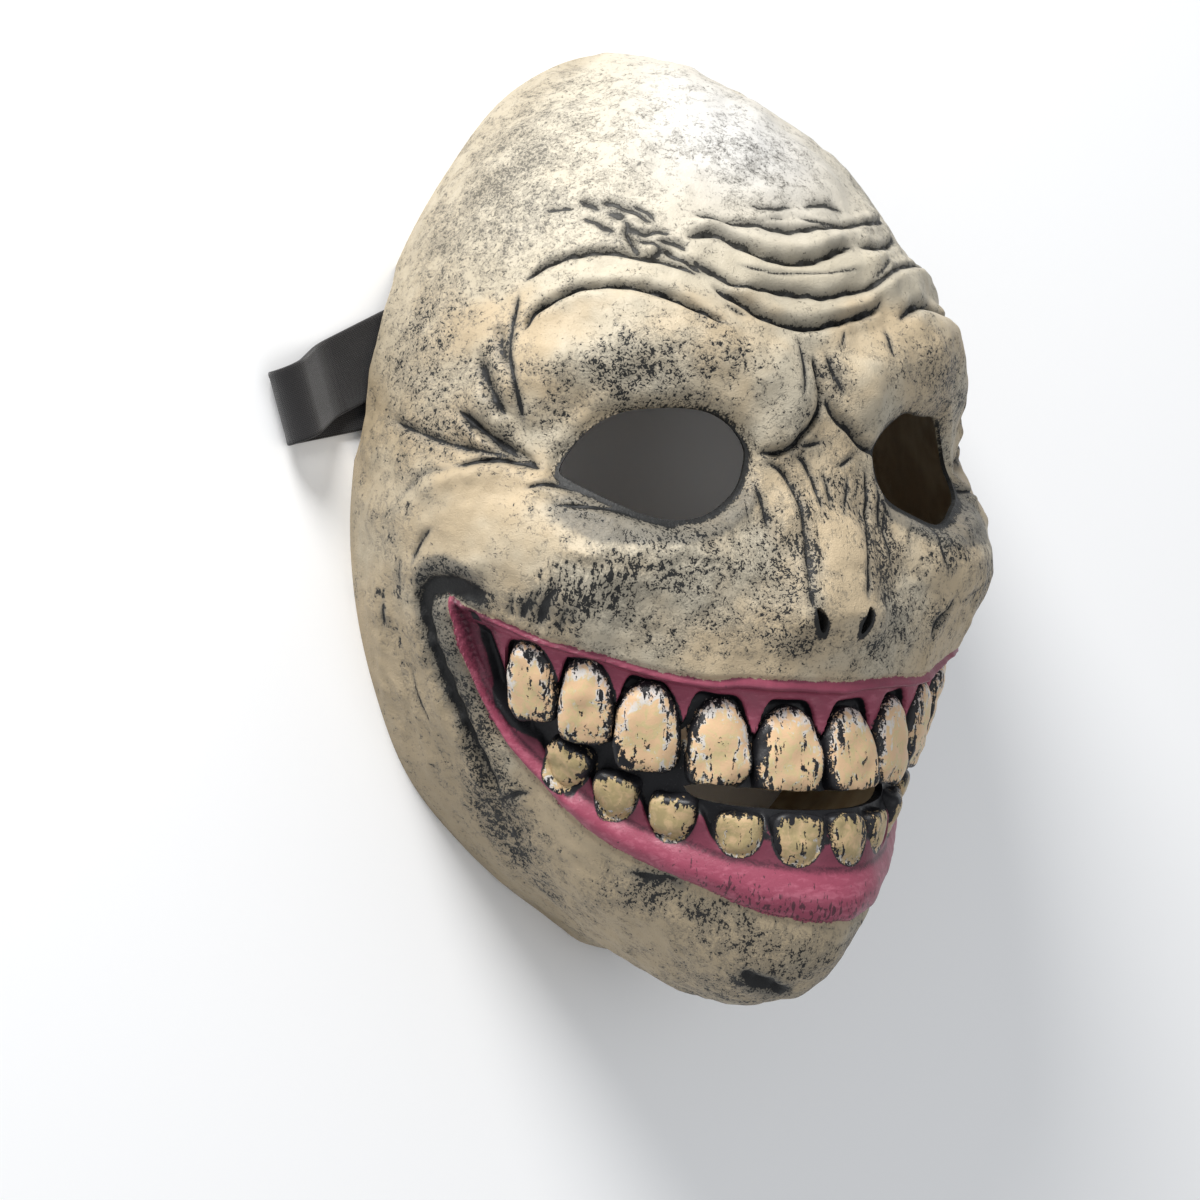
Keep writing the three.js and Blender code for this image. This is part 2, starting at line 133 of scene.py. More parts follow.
def line_distance(points: Array, s: Array, y: Array) -> tuple[Array, Array]:
    """Measures how far places lie from a curve.

    Args:
        points: The curve's points.
        s: Millimetres round the face.
        y: Millimetres up the face.

    Returns:
        Each place's distance to the curve, and how far along it the nearest point is, in mm.
    """
    shortest = np.full(s.shape, np.inf)
    along = np.zeros(s.shape)
    travelled = 0.0
    for start, end in zip(points[:-1], points[1:]):
        span = end - start
        length = float(np.hypot(*span)) or 1e-6
        part = np.clip(((s - start[0]) * span[0] + (y - start[1]) * span[1]) / length**2, 0.0, 1.0)
        distance = np.hypot(s - start[0] - part * span[0], y - start[1] - part * span[1])
        nearer = distance < shortest
        shortest = np.where(nearer, distance, shortest)
        along = np.where(nearer, travelled + part * length, along)
        travelled += length
    return shortest, along


def inside_loop(points: Array, s: Array, y: Array) -> Array:
    """Tells which places lie inside a closed curve.

    Args:
        points: The closed curve's points.
        s: Millimetres round the face.
        y: Millimetres up the face.

    Returns:
        True for each place inside.
    """
    within = np.zeros(s.shape, dtype=bool)
    for start, end in zip(points, np.roll(points, -1, axis=0)):
        crosses = (start[1] > y) != (end[1] > y)
        rise = end[1] - start[1] or 1e-9
        within ^= crosses & (s < start[0] + (y - start[1]) / rise * (end[0] - start[0]))
    return within


class Ripple:
    """Smooth lumpy noise made of many plane waves."""

    def __init__(self, wavelength: float, seed: int, waves: int = 28) -> None:
        """Draws the waves.

        Args:
            wavelength: Rough size of a lump in mm.
            seed: Number that fixes the noise.
            waves: How many waves are added.
        """
        draw = np.random.default_rng(seed)
        heading = draw.normal(size=(waves, 3))
        heading /= np.linalg.norm(heading, axis=1)[:, None]
        self.waves = heading * (2 * math.pi / (wavelength * draw.uniform(0.7, 1.6, waves)))[:, None]
        self.starts = draw.uniform(0, 2 * math.pi, waves)

    def at(self, places: Array) -> Array:
        """Gives the noise, mostly from -1 to 1, at each row of places in mm."""
        return np.sin(places @ self.waves.T + self.starts).sum(axis=1) / math.sqrt(len(self.starts) / 2)


@dataclass(frozen=True)
class Globe:
    """The plain face: radii of the globe up the midline and up three outlines further round to the rim."""

    midline: tuple[float, ...] = (115, 124, 142.8, 138, 112, 104, 95, 96, 104, 113, 121, 127, 129)
    near_midline: tuple[float, ...] = (115, 116.5, 124, 116.5, 106, 102, 102, 101, 106, 112, 119, 124, 129)
    near_rim: tuple[float, ...] = (115, 110, 106, 99, 95, 95.5, 97.5, 95.5, 100.5, 107, 115, 121.5, 129)
    rim: tuple[float, ...] = (115, 106, 99, 94.5, 89, 86, 85, 86, 92, 99, 109, 122.5, 129)
    step: float = 15.0
    turn: float = 30.0

    def radius(self, round_angle: Array, up_angle: Array) -> Array:
        """Works out the plain face's radius.

        Args:
            round_angle: Degrees round the globe from the midline.
            up_angle: Degrees up the globe.

        Returns:
            The radius in mm.
        """
        outlines = np.array([self.midline, self.near_midline, self.near_rim, self.rim], dtype=float)
        last = outlines.shape[1] - 1
        place = (up_angle + 90.0) / self.step
        start = np.minimum(np.floor(place), last - 1).astype(int)
        turned = [last - np.abs(last - np.abs(start + shift)) for shift in (-1, 0, 1, 2)]
        rows = [catmull(*(outline[index] for index in turned), place - start) for outline in outlines]
        rows.append(2 * rows[-1] - rows[-2])
        stack = np.stack(rows)
        across = np.abs(round_angle) / self.turn
        begin = np.minimum(np.floor(across), len(outlines) - 2).astype(int)
        cells = np.arange(across.size).reshape(across.shape)
        flat = stack.reshape(len(rows), -1)
        picked = [flat[np.abs(begin + shift), cells] for shift in (-1, 0, 1, 2)]
        return catmull(*picked, across - begin)

    def direction(self, round_angle: Array, up_angle: Array) -> Array:
        """Gives the unit direction at angles in degrees."""
        turned, lifted = np.radians(round_angle), np.radians(up_angle)
        level = np.cos(lifted)
        return np.stack([level * np.sin(turned), np.sin(lifted), level * np.cos(turned)], axis=-1)

    def place(self, s: Array, y: Array) -> Array:
        """Finds the plain face's points.

        Args:
            s: Millimetres round the face.
            y: Millimetres up the face.

        Returns:
            One point a row, in mm from the globe's middle.
        """
        round_angle = np.degrees(np.asarray(s, dtype=float) / CHART_RADIUS)
        lifted = np.zeros_like(round_angle)
        for _ in range(30):
            lifted = np.degrees(np.arcsin(np.clip(y / self.radius(round_angle, lifted), -1.0, 1.0)))
        return self.direction(round_angle, lifted) * self.radius(round_angle, lifted)[..., None]


class Sides(Enum):
    """Which side of the face a feature is on."""

    AS_DRAWN = "as drawn"
    BOTH = "both"


@dataclass(frozen=True)
class Stroke:
    """A crease or a roll along a line.

    It is drawn on the wearer's right, and mirrored where it is on both sides. A crease has a height
    below 0. Ink is how dark the wash lies in it and the painted shade round it, and pen is how wide, as a share of the
    reach.
    """

    line: tuple[Place, ...]
    height: float
    reach: float
    sides: Sides = Sides.BOTH
    ink: float = 1.0
    taper: float = 6.0
    pen: float = 0.75

    def curves(self) -> list[Array]:
        """Gives the stroke's curve on each side that it is on, the mirrored one a little off."""
        drawn = rounded_line(self.line)
        if self.sides is Sides.AS_DRAWN:
            return [drawn]
        steps = np.arange(len(drawn))
        drift = np.stack([np.sin(0.7 * steps + self.line[0][0]), np.cos(0.5 * steps + self.line[0][1])], axis=1)
        return [drawn, drawn * (-1.0, 1.0) + 0.55 * drift]


@dataclass(frozen=True)
class Patch:
    """A soft oval patch on the face, mirrored to the other side unless it is as drawn."""

    s: float
    y: float
    width: float
    tall: float
    amount: float
    lean: float = 0.0
    sides: Sides = Sides.BOTH

    def at(self, s: Array, y: Array) -> Array:
        """Gives the patch's strength.

        Args:
            s: Millimetres round the face.
            y: Millimetres up the face.

        Returns:
            The strength at each place.
        """
        total = np.zeros_like(s)
        for side in (1.0,) if self.sides is Sides.AS_DRAWN else (1.0, -1.0):
            turn = math.radians(self.lean)
            right, up = side * s - self.s, y - self.y
            along = right * math.cos(turn) + up * math.sin(turn)
            across = up * math.cos(turn) - right * math.sin(turn)
            total += self.amount * oval(along, across, self.width, self.tall)
        return total


def strokes(sides: Sides, rows: tuple[tuple, ...]) -> tuple[Stroke, ...]:
    """Makes strokes with the same sides, from rows of line, height, reach, ink, taper and pen."""
    return tuple(Stroke(line, height, reach, sides, *more) for line, height, reach, *more in rows)


def patches(sides: Sides, rows: tuple[tuple[float, ...], ...]) -> tuple[Patch, ...]:
    """Makes patches with the same sides, from rows of place, width, tallness, amount and lean."""
    return tuple(Patch(*row, sides=sides) for row in rows)


def patch_sum(many: tuple[Patch, ...], s: Array, y: Array) -> Array:
    """Adds up the strengths of many patches."""
    return sum(patch.at(s, y) for patch in many)


@dataclass(frozen=True)
class Grin:
    """The mouth: its lips, the dark floor between them and its gums."""

    half_width: float = 104.0
    upper_y: float = -42.0
    upper_rise: float = 21.5
    lower_y: float = -105.0
    lower_rise: float = 85.0
    lower_bulge: float = 4.0
    depth: float = 6.5
    upper_thick: float = 5.0
    lower_thick: float = 11.0
    slope: float = 4.0
    corner: float = 12.0

    def edges(self, s: Array) -> tuple[Array, Array]:
        """Works out the outer edges of the lips.

        Args:
            s: Millimetres round the face.

        Returns:
            Heights of the upper lip's outer edge and of the lower lip's.
        """
        part = np.minimum(np.abs(s) / self.half_width, 1.0)
        upper = self.upper_y + self.upper_rise * part**2
        sweep = self.lower_rise * (1 - np.sqrt(1 - part**2))
        return upper, self.lower_y + sweep + self.lower_bulge * np.sin(math.pi * part)

    def hollow_share(self, s: Array, y: Array, spread: float) -> Array:
        """Works out how far the inside follows the mouth's floor, from 0 on the lips to 1.

        Args:
            s: Millimetres round the face.
            y: Millimetres up the face.
            spread: How much wider than the floor the hollow is, in mm.

        Returns:
            The share at each place.
        """
        upper, lower = self.edges(s)
        above = smooth(self.upper_thick - spread, self.upper_thick + self.slope, upper - y)
        below = smooth(self.lower_thick - spread, self.lower_thick + self.slope, y - lower)
        inside = smooth(self.half_width + spread, self.half_width - self.corner, np.abs(s))
        return above * below * inside


UPPER_LIP: tuple[Place, ...] = (
    (0, -41.4), (6, -41.6), (13, -41), (24, -40.4), (33, -40.4), (43, -39.2), (51, -37.2), (62, -34),
    (72, -31.3), (81, -28.2), (91, -24.5), (97, -21.8), (103.5, -18.4),
)
LOWER_LIP: tuple[Place, ...] = (
    (103.5, -18.4), (103.2, -22.5), (102.4, -28), (101.2, -36.7), (98.6, -45.6), (95, -53), (89.5, -60.2),
    (82, -68), (74, -74.6), (64, -81.6), (52, -87.2), (40, -91.5), (30, -96), (20, -99.6), (10, -101.6), (0, -102.2),
)
UPPER_WIDTH: tuple[Place, ...] = ((0, 2.7), (30, 2.3), (60, 1.6), (100, 1.3))
LIP_WIDTH: tuple[Place, ...] = ((0, 11), (16, 10.5), (28, 8.5), (39, 7.4), (62, 6.6), (75, 5.3), (90, 3), (103, 1.8))
POCKET: tuple[Place, ...] = ((-98, -21), (-95.7, -25.8), (-94.6, -30.6), (-93.6, -36), (-92.8, -41), (-92.3, -47))


def from_table(table: tuple[Place, ...], value: Array) -> Array:
    """Reads a table of places and results, straight between its rows."""
    return np.interp(value, *zip(*table))


@dataclass(frozen=True)
class Tooth:
    """One tooth: its middle round the face, its width, its ends up the face and how far it leans."""

    s: float
    width: float
    top: float
    bottom: float
    upper: bool
    lean: float = 0.0


# Each row: the places round the face of a tooth and its mirror tooth, its width, top, bottom and lean.
UPPER_TEETH = (
    (10.4, 10.1, 19.8, -47.2, -70.3, 1.0), (29.9, 29.0, 17.0, -45.2, -68.7, 0.0),
    (49.4, 48.6, 17.9, -41.4, -65.4, 2.0), (66.4, 65.9, 15.3, -35.4, -58.5, 4.0),
    (82.2, 81.2, 14.4, -30.8, -52.9, 4.0),
)
LOWER_TEETH = (
    (9.2, 7.4, 14.9, -75.1, -89.2, 0.0), (24.9, 22.4, 13.1, -74.9, -87.0, 4.0),
    (42.6, 41.0, 13.2, -70.7, -83.8, 6.0), (58.8, 57.5, 12.4, -65.7, -78.7, 14.0),
    (73.8, 72.9, 13.6, -57.4, -71.1, 26.0),
)


def teeth_of_the_grin() -> list[Tooth]:
    """Lists all twenty teeth, those on the wearer's left a little off their mirror places."""
    teeth = []
    for number, (near, far, width, top, bottom, lean) in enumerate(UPPER_TEETH + LOWER_TEETH):
        upper = number < len(UPPER_TEETH)
        shift = 0.6 * math.sin(3.1 * number)
        narrowed = width * (1 - 0.03 * math.cos(2.3 * number))
        teeth.append(Tooth(-near, width, top, bottom, upper, lean))
        teeth.append(Tooth(far, narrowed, top + 0.4 * shift, bottom - 0.7 * shift, upper, -lean + 2 * shift))
    return teeth


FURROWS: tuple[Stroke, ...] = (
    *strokes(Sides.AS_DRAWN, (
        # forehead wrinkles, from the top down
        (((-15, 82.7), (-6.3, 81.8), (4.8, 83.4)), -0.5, 0.6, 0.8),
        (((8, 83.4), (15, 84), (22.4, 83.8), (28, 83)), -0.6, 0.7),
        (((-33.6, 79.9), (-25, 78), (-14, 77.4), (-6.4, 76.4), (4, 76.5), (13.5, 77.4), (31, 79.5), (47, 80.6),
         (60, 82)), -1.1, 0.75),
        (((-13.4, 78.4), (0.4, 79.8)), -0.4, 0.5, 0.6),
        (((2.6, 80.1), (9.5, 78.8), (22, 78.8), (36, 79.8)), -0.5, 0.6, 0.8),
        (((-37, 73.5), (-28, 74.7), (-19.7, 71.5), (-12.2, 68.5), (-4.4, 67.8), (2.3, 68.4), (9.5, 69.8), (17.3, 72),
         (23, 72.7)), -2.0, 0.95),
        (((25.7, 73), (35.6, 72.9), (52, 75.6), (62, 79)), -1.2, 0.8),
        (((-24, 66.4), (-17.4, 64.5), (-8.2, 63.6), (8, 64.5), (22, 66)), -0.4, 0.5, 0.6),
        (((-35, 67.3), (-29.7, 64.5), (-22.2, 60.3), (-14, 60.3), (-2.3, 59.1), (4.2, 58.2), (14.6, 60.5),
         (24, 61.7), (39, 66.5), (53, 68.3), (66, 67), (80, 61)), -1.3, 0.8),
        (((-31, 61), (-26.9, 58.1), (-21.5, 55.4), (-16, 52.1), (-7.1, 50.8), (-2, 50.5), (4.7, 51.4), (14.2, 53.4),
         (22, 55.3), (27, 58)), -2.0, 0.95),
        (((24, 63), (31, 66), (39, 70.2)), -0.8, 1.2, 0.7),
        # brow folds
        (((-84.7, 62), (-81.2, 64.6), (-77.9, 66.5), (-72.8, 68), (-68, 69), (-61.4, 69.6), (-55, 69.2),
         (-49.2, 67.4), (-43.6, 66.6), (-38.3, 65), (-34, 63)), -1.4, 0.75),
        (((-82.5, 47.5), (-80, 52.6), (-74.5, 55.8), (-67.5, 59), (-59, 60), (-51, 59.2), (-42.7, 56.8), (-36.3, 53),
         (-27.5, 48.4)), -2.4, 1.0),
        (((-29, 56), (-25, 53.6), (-20.5, 52)), -0.6, 0.7, 0.7),
        (((31, 52.6), (38.5, 55.8), (46, 57), (54, 56), (63, 53.5), (73, 53.5), (82, 49)), -2.0, 1.1),
        (((25, 51.3), (23.4, 45.5), (23.6, 40)), -0.7, 0.9, 0.8),
        # the knot of scars over the wearer's right brow
        (((-62.6, 83.2), (-58.7, 83.2), (-54.8, 81.7), (-51.1, 80.3), (-48.3, 78.6), (-45.8, 77)), -1.0, 0.8, 1.0,
         4.0),
        (((-51.7, 82.2), (-49.5, 81.4), (-46.7, 79.6), (-45.5, 77.5)), -0.7, 0.6, 1.0, 2.0),
        (((-69.2, 83.7), (-65.9, 82.9), (-62.6, 81.5)), -0.6, 0.6, 1.0, 2.0),
        (((-59.5, 80.4), (-57.3, 79.9), (-54.8, 78.7)), -0.9, 1.3, 1.0, 1.5),
        (((-68, 79.7), (-64, 78.4), (-61, 76), (-57.7, 74.2)), -0.7, 0.65, 1.0, 3.0),
        (((-54.2, 77.5), (-53.6, 75.4), (-54.4, 74.6), (-52.9, 72.1), (-51.6, 69.8), (-50.6, 68.7)), -1.1, 0.85, 1.0,
         2.0),
        (((-54.3, 75.6), (-51.5, 74.3), (-48.8, 73.6), (-45.6, 74.8), (-41.7, 74.4)), -0.9, 0.75, 1.0, 2.0),
        (((-45.3, 72.1), (-41.5, 72.1), (-38.7, 71.4), (-37.1, 69.9)), -0.8, 0.7, 1.0, 2.0),
        (((-44, 70.1), (-41.9, 69.2), (-40, 67.8), (-37.3, 66.8), (-33.6, 64.4)), -1.1, 0.9, 1.0, 2.0),
        (((-50.3, 71.9), (-47.4, 71.3), (-45, 70.3), (-44.7, 69.1), (-47, 67.6), (-49.1, 67.3)), -0.7, 0.6, 1.0, 1.5),
        (((-81, 81.5), (-75.7, 81.6), (-70.7, 81.8)), -0.5, 0.55, 0.8, 3.0),
        (((-35.1, 66.8), (-32.4, 65.4), (-29.4, 64.2)), -1.0, 1.2, 1.0, 1.5),
        # folds beside the eye
        (((-101, 14.2), (-91.6, 16), (-83.6, 15.8), (-75.8, 14)), -1.3, 0.75),
        (((-73.2, 4.3), (-65.3, 3.8), (-57.3, 2.8), (-49, 0), (-41, -2)), -0.9, 0.65),
        (((41, 4.3), (47.5, 3.6), (54, 2.4)), -0.9, 0.7),
        # between the brows
        (((-6.6, 46.8), (-6.3, 40.8), (-7.3, 33.8), (-8.4, 30.3)), -0.6, 0.7),
        (((-1.9, 43.6), (-1.4, 37.3), (-0.4, 31.2), (-3, 25.6), (-7.1, 22.3), (-9, 20), (-13.2, 18.2), (-20, 18)),
         -1.9, 0.85),
        (((0.4, 32.5), (2.9, 29), (5.8, 26), (10.3, 22.8), (13.8, 20.7), (17.4, 19.4), (22.9, 19.9)), -2.0, 0.9),
        (((2, 44.2), (3.4, 39), (5.1, 34.5), (6.9, 31.5)), -1.0, 0.75), (((10, 49.7), (7.3, 44.7)), -0.4, 0.6, 0.8),
        (((-7.8, 19.3), (-2.7, 20.2), (1.4, 21.1)), -0.8, 0.6), (((5.2, 14.4), (10.9, 17.3)), -0.6, 0.65, 0.9, 2.0),
        # nose
        (((-10.2, 17.8), (-6, 16), (-4.2, 12.3), (-3.2, 8.4), (-3, 2)), -0.8, 0.65, 0.9),
        (((-18.5, 16.4), (-12.3, 13.2), (-9.3, 7), (-8.6, 1), (-8.5, -6), (-9.6, -14.2), (-10, -18.8)), -1.0, 0.7,
         0.8),
        (((15.9, 15.4), (15.3, 9.3), (12.8, 0.1), (8.9, -7.4), (7, -14.4), (5.2, -19.6)), -1.1, 0.75),
        (((25.2, 11.7), (20.8, 0.9), (19.1, -6.8), (19.4, -13.3)), -0.5, 0.7, 0.8),
        (((-0.5, 13.5), (0.4, 8.9), (-0.1, 2.6)), -0.5, 0.6, 0.9),
        (((8.2, 13.7), (5.5, 5.7), (2.6, 0.7)), -0.5, 0.6, 0.9), (((-10.2, -16.5), (-9.6, -21.3)), -0.9, 0.9),
        (((39.9, 0.4), (38.4, -4.3), (38.9, -9.8), (40.3, -12.6)), -1.0, 0.7),
        (((46, -18.1), (43.1, -22.9), (37.6, -25.7), (37, -31)), -1.0, 0.8),
        (((13.6, -16.9), (14.3, -23.2)), -0.5, 0.8, 0.8),
        # beside and below the mouth
        (((-17, -114.6), (-14.1, -116), (-10.5, -117), (-7.2, -118.4), (-3.4, -119.5)), -2.0, 1.1, 1.9, 2.0, 1.25),
        (((-102.1, -73), (-92.8, -70.6), (-86, -70.4)), -0.9, 0.8),
    )),
    *strokes(Sides.BOTH, (
        # folds beside the eye
        (((-85.3, 60), (-85.8, 52), (-85.3, 42.4), (-82.6, 31.8), (-81.6, 24.3)), -0.7, 0.65),
        (((-90.6, 52.3), (-88.3, 44.8), (-85.3, 36.2)), -1.3, 1.9, 0.6),
        (((-96, 43), (-91.8, 36), (-88.1, 29.7), (-85.4, 25.9)), -2.2, 1.8, 0.8),
        (((-102, 29.6), (-95.7, 25.5), (-88.6, 20.9), (-82.5, 17.3), (-77.1, 14.6)), -2.2, 1.25),
        (((-128.7, 27.6), (-113.5, 23.2), (-102.6, 20.3), (-91.7, 18.2), (-83.7, 17)), -0.9, 1.1, 0.7),
        (((-120, 6), (-115.6, 9.6), (-110.3, 13), (-99.5, 14)), -0.4, 0.9, 0.5),
        (((-81, 8.6), (-75.3, 9.8), (-69.3, 9), (-63.5, 7.2)), -1.3, 0.7),
        (((-20.9, 11.4), (-19.3, 6.4), (-18.3, 1), (-18.3, -3.3)), -0.7, 0.65),
        (((-23.7, 7.3), (-23.4, 1.8), (-22.4, -2.1)), -0.35, 0.5, 0.7),
        (((-30, 1), (-28, -3), (-28, -7)), -0.35, 0.5, 0.6),
        (((-114.7, -11.9), (-113, -8.4), (-109, -3.5), (-105, -1)), -0.7, 0.9, 0.75),
        (((-119.3, -8.3), (-120.9, -17)), -0.4, 0.8, 0.7), (((-129.1, -19.4), (-132.6, -27.7)), -0.5, 0.8, 0.9),
        (((-125, -36), (-124, -46), (-121, -55)), -0.4, 0.8, 0.6),
        # beside and below the mouth
        (((-54, -90.4), (-47, -92.2), (-41, -92.3), (-36, -94.5)), -0.9, 1.1),
        (((-85, -24), (-83, -18.5)), -0.4, 0.6, 0.7, 2.0), (((-81.6, -24.2), (-78.1, -18.6)), -0.8, 1.1, 1.0, 2.0),
        (((-79, -22.5), (-75.6, -16.5)), -0.5, 0.6, 0.8, 2.0),
        (((-77, -26), (-74.6, -20.6), (-71.5, -15.8)), -0.9, 1.5, 1.0, 2.5),
        (((-72, -27.5), (-69.3, -21)), -0.4, 0.7, 0.75, 2.0), (((-69, -26), (-66, -19)), -0.3, 0.6, 0.6, 2.0),
    )),
)

SMILE_FOLD = Stroke(
    ((-89.7, -20.4), (-93.5, -18.8), (-97, -17.5), (-101.6, -16.4), (-106.5, -16.4), (-110.2, -17.8), (-112, -21),
     (-111.7, -25.5), (-111.1, -30.5), (-110.5, -36), (-109.5, -41.5), (-108.2, -47), (-106.3, -52), (-104.8, -57),
     (-103.2, -62), (-101, -67), (-98.5, -72)),
    -3.8, 2.4, taper=12.0, pen=0.3,
)
FOLD_INK: tuple[Place, ...] = ((-76, 0.8), (-66, 1.3), (-58, 2.0), (-50, 2.7), (-42, 3.0), (-30, 2.9), (-20, 3.0))

ROLLS: tuple[Stroke, ...] = (
    *strokes(Sides.AS_DRAWN, (
        (((-82, 56), (-74, 62), (-62, 65), (-50, 64), (-38, 60), (-28, 55)), 1.3, 3.4),
        (((-80, 46), (-72, 54), (-60, 56), (-48, 55), (-36, 50), (-24, 44)), 1.4, 4.5),
        (((26, 60), (40, 63), (54, 65), (68, 65), (84, 60)), 3.2, 5.0), (((70, 3), (82, 5), (94, 4)), 1.8, 5.0),
        (((-32, 77.5), (-14, 73), (2, 72), (18, 75), (38, 77)), 1.5, 2.6),
        (((-30, 70), (-14, 64), (4, 62.5), (22, 67), (40, 70.5)), 1.8, 2.9),
        (((-26, 61), (-12, 55.5), (3, 54.5), (18, 57), (32, 62)), 1.9, 2.9),
        (((-14, 45), (-2, 46.5), (12, 46)), 0.8, 2.6), (((-24, 84), (0, 88), (24, 88)), 0.7, 3.0),
        (((-16, 45), (-10, 37), (-8, 29), (-14, 23), (-22, 22)), 1.6, 5.0),
        (((17, 44), (14, 36), (16, 29), (24, 24)), 1.6, 5.0),
    )),
    *strokes(Sides.BOTH, (
        (((-114, 7), (-104, 10.5), (-92, 12.5), (-80, 11.5), (-70, 7)), 1.5, 2.8),
        (((-98, 34), (-92, 29), (-84, 22)), 1.2, 2.6), (((-103, 26), (-94, 21), (-85, 17)), 0.7, 1.8),
    )),
    *strokes(Sides.AS_DRAWN, (
        (((-15, 10), (-13, 2), (-13, -6)), 0.8, 3.0), (((6, 12), (6, 0), (4, -12)), 1.0, 4.0),
        (((-56, 81), (-50, 74), (-40, 70)), 1.2, 2.6), (((-64, 80), (-58, 76), (-54, 71)), 0.9, 1.8),
        (((-48.2, 69.5), (-46.4, 69.3)), 1.6, 1.7, 1.0, 0.5),
        (((32, 49), (42, 52.5), (56, 50.5), (66, 46)), 1.6, 4.0),
    )),
    *strokes(Sides.BOTH, (
        (((-110, -20), (-110, -32), (-107, -46), (-102, -60), (-96, -72)), 1.2, 2.6),
        (((-96, -7), (-84, -11), (-70, -20), (-56, -28)), 1.0, 7.0),
    )),
    *strokes(Sides.AS_DRAWN, (
        (((-71, -5.5), (-63.5, -8.2), (-58.5, -6.6), (-54, -8.5), (-50, -6.2), (-45.3, -8.6), (-40, -6.2),
         (-35.4, -8.6), (-30, -6)), 0.9, 1.7),
    )),
)

WASHES: tuple[Patch, ...] = (
    *patches(Sides.BOTH, (
        (-96, 92, 34, 26, 0.45), (-116, 40, 16, 34, 0.34), (-51, 38, 18, 8.5, 0.50, 8), (-25, 43, 11, 6, 0.12, -12),
        (-89, 42, 5, 12, 0.5, -8), (-100, 22, 12, 5, 0.3), (-72, 33, 5, 9, 0.35, 20), (-56, -14, 17, 9, 0.3, 20),
        (-34, -26, 20, 8, 0.32), (-16, -10, 7, 14, 0.5), (-38, -6, 14, 6, 0.24), (-70, -19, 14, 8, 0.36, 30),
        (-11, -31, 9, 5, 0.35), (-121, -30, 8, 30, 0.12), (-103, -66, 9, 22, 0.32, -20),
        (-100, -81, 22, 12, 0.44, -43), (-106, -85, 27, 7, 0.24, -43), (-60, -97, 26, 8, 0.26, 15),
        (-45, -96, 7, 4, 0.6, -10), (-30, -101, 8, 3.5, 0.62, -10), (-20, -107, 16, 5, 0.36), (-36, 16, 40, 17, 0.12),
        # bare places
        (-98, 1, 16, 11, -0.24), (-64, 52, 22, 5, -0.17, 4), (-54, 64, 26, 4, -0.18), (-70, 40, 5, 12, -0.2, 20),
        (-28, 2, 7, 8, -0.2), (-113, -52, 4, 24, -0.2, -14),
    )),
    *patches(Sides.AS_DRAWN, (
        (-4, 96, 30, 10, 0.26), (-52, 80, 12, 7, 0.06), (-8, -4, 3.0, 17, 0.42), (3, 9, 5, 7, 0.24),
        (11, -4, 3, 18, 0.30), (20, -2, 4, 16, 0.3), (-4, -118, 30, 9, 0.44), (3, 40, 7, 8, 0.3), (-6, 27, 6, 6, 0.3),
        (-46, -14, 20, 4.5, 0.16),
        # bare places
        (-46, -8, 16, 1.6, -0.2), (0, 64, 34, 13, -0.34), (2, -8, 4, 14, -0.10), (-10, 33, 5, 8, -0.3),
        (14, 33, 5, 8, -0.26), (-29, 88, 6, 5, -0.4),
    )),
)

# painted shade down the nose ridge, and a painted sheen on the top of the forehead
SHADE_AND_SHEEN_PATCHES: tuple[Patch, ...] = patches(Sides.AS_DRAWN, ((2, -6, 10, 18, -0.3), (-6, 104, 44, 22, 0.26)))
PITTED: tuple[Patch, ...] = (
    *patches(Sides.AS_DRAWN, ((-26, 39, 14, 7, 1.0, -15), (-43, -11.5, 17, 3.5, 0.9))),
    *patches(Sides.BOTH, ((-105, -85, 27, 9, 0.7, -43),)),
)
STREAKED: tuple[Patch, ...] = (
    *patches(Sides.BOTH, ((-70, -18, 24, 12, 1.2, 30), (-126, -30, 14, 50, 1.0), (-34, -92, 60, 12, 0.6))),
    *patches(Sides.AS_DRAWN, ((4, 0, 18, 24, 1.0), (0, -112, 40, 14, 0.5))),
)

EYE_HOLE: tuple[Place, ...] = (
    (-72.5, 13), (-70, 18), (-66, 22.5), (-61, 26), (-55, 28.3), (-47, 29.2), (-39, 29.2), (-32, 28),
    (-26, 24.5), (-22, 19), (-22.5, 13.5), (-25, 8.5), (-29.5, 4.5), (-35, 1.5), (-42, 0.3), (-49, 1.2),
    (-56, 4), (-63, 7.3), (-69, 10.3),
)


@dataclass(frozen=True)
class Nostril:
    """One nostril: its middle, its lean and the half width and half length of its oval."""

    s: float
    y: float
    lean: float
    half_width: float = 1.15
    half_length: float = 3.6
    corners: int = 24

    def loop(self) -> Array:
        """Outlines it, anticlockwise."""
        angle = np.linspace(0, 2 * math.pi, self.corners + 1)[:-1]
        across, up = self.half_width * np.cos(angle), self.half_length * np.sin(angle)
        lean = math.radians(self.lean)
        right = across * math.cos(lean) + up * math.sin(lean)
        return np.stack([self.s + right, self.y + up * math.cos(lean) - across * math.sin(lean)], axis=1)

    def ink(self, s: Array, y: Array) -> Array:
        """Gives how dark the ink lies in it and round it.

        Args:
            s: Millimetres round the face.
            y: Millimetres up the face.

        Returns:
            The darkness, over 1 inside.
        """
        turn = math.radians(-self.lean)
        right, up = s - self.s, y - self.y
        along, over = up * math.cos(turn) - right * math.sin(turn), right * math.cos(turn) + up * math.sin(turn)
        return 1.3 * bump(np.hypot(over / 2.0, along / 4.7) ** 2, 1.0)


